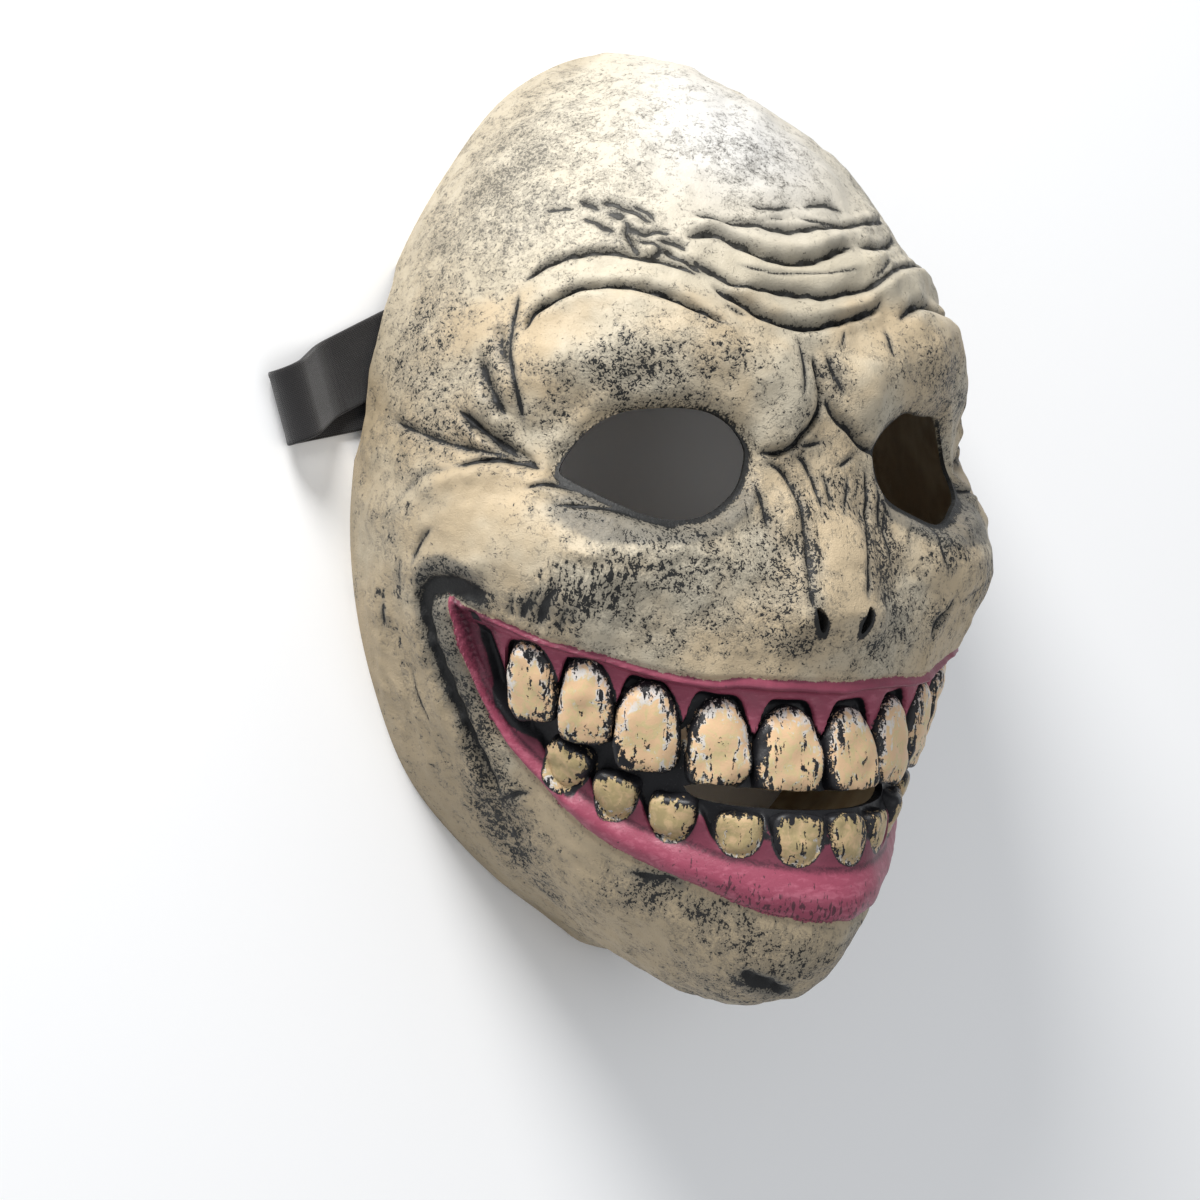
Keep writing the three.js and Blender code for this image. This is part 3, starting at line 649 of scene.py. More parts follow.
class Face:
    """The whole carving of the face, as heights over the plain globe and as places for its paints."""

    brow_ridge = np.array([[12.0, 34.0], [32, 43], [60, 46], [84, 36]])
    nostrils = (Nostril(-7.4, -25.2, -24.0), Nostril(5.4, -25.2, 8.0))
    mouth_box = (122.0, -122.0, -2.0)  # half width, lowest and highest place that the lips matter to
    eye_box = (45.0, 35.0)  # half width and half height round an eye hole that its edge matters to
    far_outside = 20.0
    gum_depth = 3.0
    floor_end = 93.5
    thinnest_wall = 1.1
    calm_rim = 6.0
    chin_fill, chin_fill_reach, chin_fill_at = 2.4, 7.5, (32.0, -72.0)

    def __init__(self) -> None:
        """Sets out the globe, the grin, the teeth, the eye holes and the noise of hand work."""
        self.globe = Globe()
        self.grin = Grin()
        self.teeth = teeth_of_the_grin()
        right_eye = rounded_line(EYE_HOLE, 1.2, closed=True)
        drift = 0.5 * np.sin(np.arange(len(right_eye)) * 0.35)[:, None]
        self.eyes = [right_eye, (right_eye * (-1.0, 1.0) + drift * (0.6, 1.0))[::-1]]
        upper, lower = rounded_line(UPPER_LIP, 3.0), rounded_line(LOWER_LIP, 3.0)
        self.upper_lip = np.vstack([upper[::-1] * (-1.0, 1.0), upper[1:]])
        self.lower_lip = np.vstack([lower, (lower * (-1.0, 1.0))[::-1][1:]])
        self.lumps = Ripple(16.0, 5)
        self.small_lumps = Ripple(5.0, 9)

    def nose(self, s: Array, y: Array) -> Array:
        """Gives the height of the nose with its nostril wings.

        Args:
            s: Millimetres round the face.
            y: Millimetres up the face.

        Returns:
            The height in mm.
        """
        rise, fall = smooth(26.0, -17.0, y), smooth(-41.0, -15.0, y)
        width = 7.8 + 5.2 * rise
        wings = 2.5 * bump(np.hypot(np.abs(s) - 10.0, y + 23.0), 5.5)
        return 8.0 * rise * fall * bump(s, width) + wings

    def broad(self, s: Array, y: Array, across: Array, up_angle: Array) -> Array:
        """Gives the broad carving, which the inside of the casting follows too.

        Args:
            s: Millimetres round the face.
            y: Millimetres up the face.
            across: True millimetres from the midline.
            up_angle: Degrees up the globe.

        Returns:
            The height in mm.
        """
        side = np.abs(s)
        brow, _ = line_distance(self.brow_ridge, side, y)
        socket = np.hypot((side - 47.0) / 31.0, (y - 15.0) / 20.0)
        chin = smooth(-88.0, -68.0, up_angle) * oval(across, y + 112.0, 17.0, 13.0)
        cheek = oval(side - 60.0, y + 10.0, 24.0, 15.0)
        beside_eye = oval(side - 79.0, y - 19.0, 12.0, 13.0)
        carving = 5.0 * bump(brow, 11.0) - 6.0 * np.exp(-(socket**4)) - 3.4 * beside_eye + 5.0 * cheek + 5.0 * chin
        return carving + self.nose(s, y)

    def gum_edges(self, s: Array) -> tuple[Array, Array]:
        """Finds where the gums end on the dark floor, with a point of gum between each two teeth.

        Args:
            s: Millimetres round the face.

        Returns:
            Heights of the upper gum's lower edge and of the lower gum's upper edge.
        """
        upper = sorted((tooth for tooth in self.teeth if tooth.upper), key=lambda tooth: tooth.s)
        lower = sorted((tooth for tooth in self.teeth if not tooth.upper), key=lambda tooth: tooth.s)
        middles, lengths, nearest = self.row_places(upper, s)
        point = bump(nearest, 2.6) * 0.42 + 0.5 * bump(np.abs(s) - 90.5, 1.8)
        above = np.interp(s, middles, [tooth.top for tooth in upper]) - 0.5 - lengths * point
        middles, lengths, nearest = self.row_places(lower, s)
        past_row = ((81.5, -60.0), (91.0, -54.0), (95.0, -48.5))  # the gum's edge past the last teeth
        ends = [(-place, height) for place, height in reversed(past_row)]
        ends += zip(middles, (tooth.bottom for tooth in lower))
        below = from_table((*ends, *past_row), s) + 0.5 + lengths * 0.55 * bump(nearest, 2.6)
        return above, below

    def row_places(self, row: list[Tooth], s: Array) -> tuple[Array, Array, Array]:
        """Relates places round the face to a row of teeth.

        Args:
            row: The teeth from right to left.
            s: Millimetres round the face.

        Returns:
            The teeth's middles, the length of a tooth at each place, and its distance to the nearest gap.
        """
        middles = np.array([tooth.s for tooth in row])
        lengths = np.interp(s, middles, [tooth.top - tooth.bottom for tooth in row])
        gaps = (middles[1:] + middles[:-1]) / 2
        return middles, lengths, np.abs(np.asarray(s)[..., None] - gaps).min(axis=-1)

    def lip_distances(self, s: Array, y: Array) -> tuple[Array, Array, Array]:
        """Measures how far places are from the lips' outer edge.

        Args:
            s: Millimetres round the face.
            y: Millimetres up the face.

        Returns:
            Millimetres inside the whole edge, below 0 outside it, and the distances to its upper and lower line.
        """
        lips, upper_gap, lower_gap = (np.full(s.shape, fill) for fill in (-self.far_outside, FAR, FAR))
        half_width, lowest, highest = self.mouth_box
        near = np.nonzero((np.abs(s) < half_width) & (y < highest) & (y > lowest))[0]
        upper_gap[near], _ = line_distance(self.upper_lip, s[near], y[near])
        lower_gap[near], _ = line_distance(self.lower_lip, s[near], y[near])
        nearest = np.minimum(upper_gap[near], lower_gap[near])
        within = inside_loop(np.vstack([self.upper_lip, self.lower_lip[1:-1]]), s[near], y[near])
        lips[near] = np.maximum(np.where(within, nearest, -nearest), -self.far_outside)
        return lips, upper_gap, lower_gap

    def floor_distance(self, s: Array, y: Array, lips: Array) -> Array:
        """Measures how far places are inside the mouth's dark floor or the dark fold in its corner.

        Args:
            s: Millimetres round the face.
            y: Millimetres up the face.
            lips: How far inside the lips they are.

        Returns:
            Rough distances in mm, above 0 inside.
        """
        above, below = self.gum_edges(s)
        floor = np.minimum(np.minimum(above - y, y - below), self.floor_end - np.abs(s))
        fold, _ = line_distance(rounded_line(POCKET), -np.abs(s), y)
        fold = from_table(((-44.0, 2.7), (-32.0, 2.2), (-21.0, 0.5)), y) - fold
        return np.minimum(np.maximum(floor, fold), lips - 1.0)

    def mouth(self, s: Array, y: Array, lips: Array, upper_gap: Array, lower_gap: Array) -> Array:
        """Gives the height of the lips, the gums and the floor between them.

        Args:
            s: Millimetres round the face.
            y: Millimetres up the face.
            lips: How far inside the lips' outer edge it is.
            upper_gap: Distance to the upper lip's edge.
            lower_gap: Distance to the lower lip's edge.

        Returns:
            The height in mm, which is 0 outside the mouth.
        """
        side = np.abs(s)
        width, thin = from_table(LIP_WIDTH, side), from_table(UPPER_WIDTH, side)
        within = smooth(-1.2, 1.5, lips)
        upper_roll = 0.2 * thin * bump(upper_gap - 0.6 * thin, 0.4 + 0.5 * thin) * smooth(101.0, 88.0, side)
        tall = from_table(((0.0, 2.1), (30.0, 1.8), (60.0, 1.5), (104.0, 1.2)), side)
        lower_roll = tall * bump(lower_gap - 0.48 * width, 0.44 * width) - 0.5 * bump(lower_gap - width, 0.9)
        gum = -self.gum_depth * smooth(thin - 0.6, thin + 1.8, upper_gap)
        gum *= smooth(0.55 * width, 1.2 * width, lower_gap)
        dark = (self.gum_depth - self.grin.depth) * smooth(-1.2, 2.2, self.floor_distance(s, y, lips))
        return (upper_roll + lower_roll + gum) * within + dark - 0.9 * bump(lips, 0.8)

    def strokes(self, s: Array, y: Array) -> tuple[Array, Array, Array]:
        """Carves every crease and roll.

        Args:
            s: Millimetres round the face.
            y: Millimetres up the face.

        Returns:
            The height in mm, how dark the ink lies in the creases, and how dark it is round them, partly grey wash and
            partly painted shade, 1 in a plain crease.
        """
        cut, shoulder, ink, halo, roll = (np.zeros_like(s) for _ in range(5))
        for stroke in (*FURROWS, SMILE_FOLD, *ROLLS):
            for curve in stroke.curves():
                span = 6.0 * stroke.reach
                near = np.nonzero(
                    (s > curve[:, 0].min() - span) & (s < curve[:, 0].max() + span)
                    & (y > curve[:, 1].min() - span) & (y < curve[:, 1].max() + span)
                )[0]
                distance, along = line_distance(curve, s[near], y[near])
                length = float(np.hypot(*np.diff(curve, axis=0).T).sum())
                taper = min(stroke.taper, length / 2)
                fade = smooth(-1.0, taper, along) * smooth(length + 1.0, length - taper, along)
                if stroke.height > 0:
                    roll[near] += stroke.height * fade * bump(distance, stroke.reach)
                    continue
                depth = -stroke.height
                waver = 1 + 0.25 * np.sin(0.9 * along + curve[0, 0])
                cut[near] = np.maximum(cut[near], depth * fade * waver * bump(distance, stroke.reach))
                lift = 0.30 * depth * fade * bump(distance - 2.6 * stroke.reach, 1.7 * stroke.reach)
                shoulder[near] = np.maximum(shoulder[near], lift)
                pen = np.maximum(0.55, stroke.pen * stroke.reach * (1 + 0.35 * np.sin(0.55 * along + curve[0, 1])))
                dark = stroke.ink * min(1.0, 0.6 + depth) * np.sqrt(fade)
                ink[near] = np.maximum(ink[near], dark * bump(distance, pen))
                # painted shade round the crease, wider than its ink
                halo[near] = np.maximum(halo[near], dark * bump(distance, 0.6 + 2.0 * stroke.reach))
        return roll + shoulder - cut, ink, halo

    def eye_distance(self, s: Array, y: Array) -> Array:
        """Gives the distance to the nearer eye hole's edge, below 0 inside the hole."""
        nearest = np.full(s.shape, FAR)
        half_width, half_height = self.eye_box
        for loop in self.eyes:
            right, up = s - loop[:, 0].mean(), y - loop[:, 1].mean()
            near = np.nonzero((np.abs(right) < half_width) & (np.abs(up) < half_height))[0]
            distance, _ = line_distance(np.vstack([loop, loop[:1]]), s[near], y[near])
            within = inside_loop(loop, s[near], y[near])
            nearest[near] = np.minimum(nearest[near], np.where(within, -distance, distance))
        return nearest

    def radii(self, aims: Array) -> tuple[Array, Array]:
        """Works out the outside and the inside of the casting.

        Args:
            aims: Unit directions from the globe's middle, one a row.

        Returns:
            The outer and the inner radius in mm at each.
        """
        round_angle = np.degrees(np.arctan2(aims[:, 0], aims[:, 2]))
        up_angle = np.degrees(np.arcsin(np.clip(aims[:, 1], -1.0, 1.0)))
        plain = self.globe.radius(round_angle, up_angle)
        s = np.radians(round_angle) * CHART_RADIUS
        y = plain * np.sin(np.radians(up_angle))
        across = np.radians(round_angle) * plain * np.cos(np.radians(up_angle))
        broad = self.broad(s, y, across, up_angle)
        inner = plain + 0.8 * broad - self.grin.depth * self.grin.hollow_share(s, y, self.grin.slope) - WALL
        carved = self.strokes(s, y)[0]
        eye = self.eye_distance(s, y)
        brim = -1.9 * bump(np.maximum(eye, 0.0), 2.2) + 0.9 * bump(eye - 4.6, 2.4)
        places = aims * plain[:, None]
        lips, upper_gap, lower_gap = self.lip_distances(s, y)
        calm = smooth(2.0, -3.0, lips)
        hand = 0.32 * self.lumps.at(places) + 0.12 * self.small_lumps.at(places) * (0.4 + 0.6 * calm)
        outer = plain + broad + carved * smooth(-3.0, 1.0, eye) + brim + hand
        outer += self.mouth(s, y, lips, upper_gap, lower_gap)
        fill_at = self.globe.direction(*np.array(self.chin_fill_at))
        apart = np.degrees(np.arccos(np.clip(np.abs(aims) * (1.0, -1.0, 1.0) @ fill_at, -1.0, 1.0)))
        outer += self.chin_fill * bump(apart, self.chin_fill_reach) * (aims[:, 1] < 0)
        from_rim = 90.0 - np.abs(round_angle)
        calmed = plain + broad + (outer - plain - broad) * smooth(0.0, self.calm_rim, from_rim)
        outer = np.where(from_rim < self.calm_rim, calmed, outer)
        return np.maximum(outer, inner + self.thinnest_wall), inner


def place_of(points: Array, face: Face) -> tuple[Array, Array]:
    """Reads places on the face from points.

    Args:
        points: Points in mm from the globe's middle, one a row.
        face: The face.

    Returns:
        Millimetres round the face, and millimetres up the plain face.
    """
    away = np.linalg.norm(points, axis=1)
    round_angle = np.degrees(np.arctan2(points[:, 0], points[:, 2]))
    up_angle = np.degrees(np.arcsin(np.clip(points[:, 1] / away, -1.0, 1.0)))
    plain = face.globe.radius(round_angle, up_angle)
    return np.radians(round_angle) * CHART_RADIUS, plain * np.sin(np.radians(up_angle))


def operator(operation: str, swapped: bool = False) -> "Callable[[Socket, Socket | float], Socket]":
    """Makes the method for one operator on a socket.

    Args:
        operation: The Math node's operation.
        swapped: Whether the socket comes second.

    Returns:
        The method, which adds a Math node.
    """
    def method(self: "Socket", other: "Socket | float") -> "Socket":
        """Adds the Math node."""
        return self.maths(operation, other, self) if swapped else self.maths(operation, self, other)

    return method


class Socket:
    """Wraps a shader socket, so that maths on it is written as an expression."""

    __add__, __radd__ = operator("ADD"), operator("ADD", swapped=True)
    __sub__, __rsub__ = operator("SUBTRACT"), operator("SUBTRACT", swapped=True)
    __mul__, __rmul__ = operator("MULTIPLY"), operator("MULTIPLY", swapped=True)
    __pow__, __rtruediv__ = operator("POWER"), operator("DIVIDE", swapped=True)
    most = operator("MAXIMUM")

    def __init__(self, shader: "Shader", link: bpy.types.NodeSocket) -> None:
        """Keeps the socket and the shader that it belongs to."""
        self.shader = shader
        self.link = link

    def maths(self, operation: str, *values: "Socket | float") -> "Socket":
        """Adds a Math node for the given values, in order, and gives its result."""
        node = self.shader.node("ShaderNodeMath", {"operation": operation}, dict(enumerate(values)))
        return Socket(self.shader, node.outputs[0])

    def __abs__(self) -> "Socket":
        """Takes the size without the sign."""
        return self.maths("ABSOLUTE", self)

    def step(self, start: "Socket | float", end: "Socket | float", low: float = 0.0, high: float = 1.0) -> "Socket":
        """Steps softly between two values.

        Args:
            start: Value at which the step begins.
            end: Value at which it is done.
            low: Result before it.
            high: Result after it.

        Returns:
            The result of a Map Range node.
        """
        node = self.shader.node(
            "ShaderNodeMapRange", {"interpolation_type": "SMOOTHSTEP", "clamp": True},
            {"Value": self, "From Min": start, "From Max": end, "To Min": low, "To Max": high},
        )
        return Socket(self.shader, node.outputs["Result"])


class Shader:
    """A material's node tree, filled by calls."""

    def __init__(self, name: str) -> None:
        """Makes an empty material.

        Args:
            name: The material's name.
        """
        self.material = bpy.data.materials.new(name)
        self.material.use_nodes = True
        self.tree = self.material.node_tree
        self.tree.nodes.clear()
        where = self.node("ShaderNodeTexCoord", {}, {})
        self.place = Socket(self, where.outputs["Object"])
        self.flat_place = Socket(self, where.outputs["UV"])

    def node(self, kind: str, settings: dict[str, object], sockets: dict[str | int, object]) -> bpy.types.Node:
        """Adds a node.

        Args:
            kind: The node's type.
            settings: Its properties, which are set first.
            sockets: Values or links of its sockets, by name or number.

        Returns:
            The node.
        """
        node = self.tree.nodes.new(kind)
        for name, value in settings.items():
            setattr(node, name, value)
        for name, value in sockets.items():
            target = node.inputs[name]
            if isinstance(value, Socket):
                self.tree.links.new(value.link, target)
            elif isinstance(value, tuple) and len(value) == 3 and target.type == "RGBA":
                target.default_value = (*value, 1.0)
            else:
                target.default_value = value
        return node

    def noise(self, size: float, detail: float = 2.0, rough: float = 0.5, distortion: float = 0.0,
              where: Socket | None = None, shift: float = 0.0) -> Socket:
        """Adds a noise texture.

        Args:
            size: Size of its lumps in mm.
            detail: Levels of finer noise.
            rough: How strong the finer levels are.
            distortion: How much it curls.
            where: Coordinates in metres, if not the piece's own.
            shift: Distance that moves it to another part of the noise.

        Returns:
            Its value, about 0.5 on average.
        """
        where = where or self.place
        if shift:
            moved = self.node("ShaderNodeVectorMath", {"operation": "ADD"}, {0: where, 1: (shift, shift, -shift)})
            where = Socket(self, moved.outputs[0])
        node = self.node(
            "ShaderNodeTexNoise", {"noise_dimensions": "3D"},
            {"Vector": where, "Scale": 1000.0 / size, "Detail": detail, "Roughness": rough,
             "Distortion": distortion},
        )
        return Socket(self, node.outputs["Fac"])

    def stretched(self, scale: tuple[float, float, float], turn: tuple[float, float, float] = (0, 0, 0)) -> Socket:
        """Stretches and turns the piece's coordinates.

        Args:
            scale: Scale along each axis.
            turn: Turn about each axis in degrees.

        Returns:
            The new coordinates.
        """
        node = self.node(
            "ShaderNodeMapping", {},
            {"Vector": self.place, "Scale": scale, "Rotation": tuple(math.radians(angle) for angle in turn)},
        )
        return Socket(self, node.outputs[0])

    def attribute(self, name: str) -> Socket:
        """Reads a number that the mesh carries."""
        node = self.node("ShaderNodeAttribute", {"attribute_type": "GEOMETRY", "attribute_name": name}, {})
        return Socket(self, node.outputs["Fac"])

    def mix(self, share: Socket | float, first: "Socket | Colour", second: "Socket | Colour") -> Socket:
        """Mixes two colours.

        Args:
            share: How much of the second colour shows.
            first: The first colour.
            second: The second colour.

        Returns:
            The mixed colour.
        """
        node = self.node("ShaderNodeMix", {"data_type": "RGBA", "blend_type": "MIX", "clamp_factor": True},
                         {0: share, 6: first, 7: second})
        return Socket(self, node.outputs[2])

    def bumped(self, height: Socket, distance: float, strength: float) -> Socket:
        """Turns a height, on which 1 stands for a distance in mm, into a normal."""
        node = self.node("ShaderNodeBump", {}, {"Height": height, "Distance": distance * MM, "Strength": strength})
        return Socket(self, node.outputs["Normal"])

    def surface(self, colour: "Socket | Colour", roughness: "Socket | float", normal: Socket | None = None,
                **fixed: float) -> bpy.types.Material:
        """Ends the tree in a Principled shader.

        Args:
            colour: Base colour.
            roughness: Roughness.
            normal: Normal, if it is bumped.
            fixed: Further sockets that are the same all over, with _ for each blank in their names.

        Returns:
            The finished material.
        """
        sockets: dict[str | int, object] = {"Base Color": colour, "Roughness": roughness}
        if normal is not None:
            sockets["Normal"] = normal
        sockets.update({name.replace("_", " "): value for name, value in fixed.items()})
        principled = self.node("ShaderNodeBsdfPrincipled", {}, sockets)
        self.node("ShaderNodeOutputMaterial", {}, {"Surface": Socket(self, principled.outputs[0])})
        return self.material


@dataclass(frozen=True)
class Grains:
    """Noises that all the paints outside share, with lumps of about 1, 7 and 30 mm."""

    fine: Socket
    middle: Socket
    broad: Socket


@dataclass(frozen=True)
class SkinPaint:
    """Cream paint dragged over a dark base, with a thin grey wash between the two, and painted shade and sheen laid
    into its colour.
    """

    cream: Colour = (0.485, 0.385, 0.252)
    pale: Colour = (0.495, 0.445, 0.345)
    painted_sheen: Colour = (0.56, 0.55, 0.53)
    olive: Colour = (0.285, 0.228, 0.148)
    wash: Colour = (0.125, 0.118, 0.100)
    ink: Colour = (0.007, 0.008, 0.009)
    pale_from: float = 0.34  # pale tone and painted sheen at which the dark base shows least

    def paint(self, shader: Shader, grains: Grains) -> tuple[Socket, Socket]:
        """Paints the skin.

        Args:
            shader: The face's shader.
            grains: The noises.

        Returns:
            The skin's colour, and how much of the dark base shows.
        """
        middle, broad = grains.middle, grains.broad
        drawn = shader.noise(0.95, 2.0, 0.6, 0.7, shader.stretched((1.0, 0.30, 0.55), (0.0, 0.0, -22.0)))
        finer = shader.noise(0.5, 1.0, 0.5, 0.5, shift=0.07)
        dabs = shader.noise(2.6, 2.0, 0.6, 1.2, shift=0.11)
        streak, crease, wash, pits, olive_tone_and_shade, pale_tone_and_sheen, halo = (shader.attribute(name) for name in (
            "streak", "crease", "wash", "pits", "olive_tone_and_shade", "pale_tone_and_sheen", "halo"))
        # bare paint, from cream to olive; the olive is partly random tone and partly painted shade, most towards the
        # rim sides and the chin
        tint = (olive_tone_and_shade * 0.8 + middle * 0.6 - 0.2).step(0.0, 0.9)
        colour = shader.mix((broad + pale_tone_and_sheen).step(0.40, 0.66), self.cream, self.pale)
        # near-white painted sheen on the top of the forehead
        colour = shader.mix(pale_tone_and_sheen.step(0.24, 0.60), colour, self.painted_sheen)
        colour = shader.mix(tint * 0.72, colour, self.olive)
        # thin grey film, and round the creases a darkening that is partly grey wash and partly painted shade
        density = wash + (middle - 0.5) * 1.2 + (broad - 0.5) * 0.45
        grain = grains.fine * (1.0 - streak) + drawn * streak + (finer - 0.5) * 0.35
        grain = grain + (dabs - 0.5) * pits * 0.9
        film_limit = density.step(-0.1, 1.2, 0.70, 0.36)
        film = (grain * 0.60 + dabs * 0.40).step(film_limit - 0.06, film_limit + 0.05)
        colour = shader.mix(film * 0.42, colour, self.wash)
        colour = shader.mix((halo + crease).step(0.15, 1.5, 0.0, 0.75), colour, self.wash)
        # dark base, in specks and in the creases; the creases' share also paints the shade under the brows
        limit = density.step(-0.1, 1.2, 0.74, 0.475)
        specks = (grain * 0.72 + dabs * 0.28).step(limit - 0.01, limit + 0.045)
        ragged = (crease + (finer - 0.5) * 0.5 + (drawn - 0.5) * 0.7).step(0.42, 0.62)
        # fewer dark marks where the paint is paler and under the painted sheen
        specks, ragged = (part * pale_tone_and_sheen.step(0.0, self.pale_from, 1.0, least)
                          for part, least in ((specks, 0.62), (ragged, 0.86)))
        dark = specks.most(ragged)
        return shader.mix(dark * 0.97, colour, self.ink), dark.most(film * 0.4)


@dataclass(frozen=True)
class FleshPaint:
    """Pink lips and deeper pink gums, nicked with black, with painted shadow along the lips' inner edges and in the
    mouth's corners.
    """

    pink: Colour = (0.27, 0.055, 0.092)
    light: Colour = (0.40, 0.115, 0.165)
    deep: Colour = (0.155, 0.032, 0.055)
    shadow: Colour = (0.050, 0.012, 0.022)
    ink: Colour = (0.014, 0.015, 0.018)

    def paint(self, shader: Shader, grains: Grains) -> Socket:
        """Paints the lips and the gums.

        Args:
            shader: The face's shader.
            grains: The noises.

        Returns:
            The colour.
        """
        gum, lip_shadow, nicked = (shader.attribute(name) for name in ("gum", "lip_shadow", "nicks"))
        brushed = shader.noise(4.0, 3.0, 0.6, 0.4, shader.stretched((1.0, 2.6, 1.6)))
        nicks = shader.noise(0.8, 2.0, 0.6, 0.3, shader.stretched((1.0, 0.30, 0.6)))
        colour = shader.mix((brushed - gum * 0.25).step(0.44, 0.74) * 0.8, self.pink, self.light)
        colour = shader.mix((gum * 0.85 + (grains.middle - 0.5) * 0.8).step(0.1, 0.9), colour, self.deep)
        # painted shadow along the lips' inner edges and in the mouth's corners
        colour = shader.mix((lip_shadow + (grains.fine - 0.5) * 0.6).step(0.35, 0.95), colour, self.shadow)
        return shader.mix((nicks + nicked * 0.16).step(0.70, 0.78) * 0.7, colour, self.ink)


@dataclass(frozen=True)
class ToothPaint:
    """Stained teeth: peach and yellow paint with white dabs, which are partly a painted highlight along the edges,
    chipped back to black round their edges.
    """

    peach: Colour = (0.64, 0.430, 0.255)
    yellow: Colour = (0.56, 0.450, 0.235)
    white: Colour = (0.60, 0.60, 0.64)
    olive: Colour = (0.34, 0.265, 0.130)

    def edge_share(self, shader: Shader, across: Socket, free: Socket) -> Socket:
        """Works out how near a tooth's edge a point is, from places across it and along it.

        Args:
            shader: The face's shader.
            across: Place across the tooth, from -1 to 1.
            free: Place along it, from -1 at its gum to 1 at its free end.

        Returns:
            0 at the tooth's middle and 1 at its edge.
        """
        power = free.step(-0.7, 0.8, 2.4, 4.4)
        rim = (abs(across) ** power + abs(free) ** power) ** (1.0 / power)
        return rim.most(shader.attribute("tooth_rim") * 0.97)

    def paint(self, shader: Shader, grains: Grains) -> tuple[Socket, Socket, Socket]:
        """Paints the teeth.

        Args:
            shader: The face's shader.
            grains: The noises.

        Returns:
            The colour of the paint, where it lies, and where a tooth and its black outline are.
        """
        fine = grains.fine
        across, free, lower = (shader.attribute(name) for name in ("tooth_across", "tooth_free", "tooth_lower"))
        rim = self.edge_share(shader, across, free)
        small = shader.noise(2.6, 3.0, 0.6, 0.8, shift=0.05)
        streaks = shader.noise(1.5, 2.0, 0.6, 0.5, shader.stretched((1.0, 0.22, 0.6)))
        side = shader.noise(16.0, 1.0, shift=0.21)
        colour = shader.mix(small.step(0.42, 0.62), self.peach, self.yellow)
        # the lower row olive all over, mottled
        lower_olive_share = (small * 0.5 + grains.middle * 0.5).step(0.36, 0.60, 0.35, 1.0)
        colour = shader.mix(lower * lower_olive_share, colour, self.olive)
        # white dabs, partly paint and partly a painted highlight, more along each tooth's edge and towards its gum
        dabs = (small * 0.6 + streaks * 0.4 + rim * 0.20 - free * 0.05 - lower * 0.05).step(0.63, 0.72)
        colour = shader.mix(dabs * 0.68, colour, self.white)
        worn = (rim - 0.55).most(0.0) * 0.20 + (side - 0.5) * across * 0.45
        chips = streaks * 0.52 + small * 0.26 + fine * 0.22 + worn + lower * free.step(0.4, 1.0) * 0.07
        ragged = rim + (small - 0.5) * 0.16 + (fine - 0.5) * 0.32 + free * 0.025
        edge = free.step(-1.0, 0.0, 0.93, 0.965)
        paint = (1.0 - chips.step(0.575, 0.605)) * ragged.step(edge, edge - 0.05)
        outline = free.step(-1.0, 0.2, 1.055, 1.13) - lower * free.step(-0.2, 0.9, 0.07, 0.03)
        whole = (rim + (fine - 0.5) * 0.12).step(outline + 0.03, outline - 0.03)
        return colour, paint, whole


@dataclass(frozen=True)
class FacePaint:
    """All the paint outside: skin, lips and gums, the black floor of the mouth and the teeth."""

    skin: SkinPaint = SkinPaint()
    flesh: FleshPaint = FleshPaint()
    teeth: ToothPaint = ToothPaint()
    black: Colour = (0.009, 0.009, 0.011)
    scuff: Colour = (0.10, 0.10, 0.105)

    def build(self) -> bpy.types.Material:
        """Builds the material."""
        shader = Shader("face_paint")
        lips, floor = shader.attribute("lips"), shader.attribute("floor")
        broad = shader.noise(30.0, 3.0, 0.55)
        middle = shader.noise(7.0, 3.0, 0.6, 0.6)
        fine = shader.noise(1.0, 2.0, 0.62, 1.1)
        grains = Grains(fine, middle, broad)
        colour, dark = self.skin.paint(shader, grains)
        wobble = (middle - 0.5) * 2.0 + (fine - 0.5) * 1.2
        on_lips = (lips + wobble).step(-0.15, 0.15)
        colour = shader.mix(on_lips, colour, self.flesh.paint(shader, grains))
        tooth_colour, tooth, whole = self.teeth.paint(shader, grains)
        whole = whole * lips.step(0.5, 1.0)
        mottle = fine * 0.5 + middle * 0.5
        pitch = shader.mix(mottle.step(0.56, 0.66) * 0.25, self.black, self.scuff)
        on_floor = (floor + wobble * 0.4).step(-0.25, 0.25).most(whole)
        colour = shader.mix(on_floor, colour, pitch)
        tooth = tooth * whole
        colour = shader.mix(tooth, colour, tooth_colour)
        smear = mottle - dark * 0.6 * (1.0 - on_lips)
        height = smear * (1.0 - on_lips * 0.6) + tooth * 0.7
        roughness = 0.54 - on_lips * 0.12 + (fine - 0.5) * 0.12
        return shader.surface(colour, roughness, shader.bumped(height, 0.5, 0.85), Specular_IOR_Level=0.32)


@dataclass(frozen=True)
class BareLatex:
    """The unpainted inside of a slush casting: buff latex with pooled ripples."""

    buff: Colour = (0.46, 0.36, 0.22)
    amber: Colour = (0.30, 0.205, 0.105)

    def build(self) -> bpy.types.Material:
        """Builds the material."""
        shader = Shader("bare_latex")
        pools = shader.noise(26.0, 3.0, 0.55, 0.8)
        drips = shader.noise(5.0, 2.0, 0.5, 0.4, shader.stretched((1.0, 0.35, 1.0)))
        fine = shader.noise(1.2, 2.0, 0.6)
        colour = shader.mix((pools * 0.7 + drips * 0.3).step(0.38, 0.66), self.buff, self.amber)
        height = drips * 0.7 + pools * 0.6 + fine * 0.12
        return shader.surface(colour, 0.42 + fine * 0.14, shader.bumped(height, 0.5, 0.7), Specular_IOR_Level=0.5)


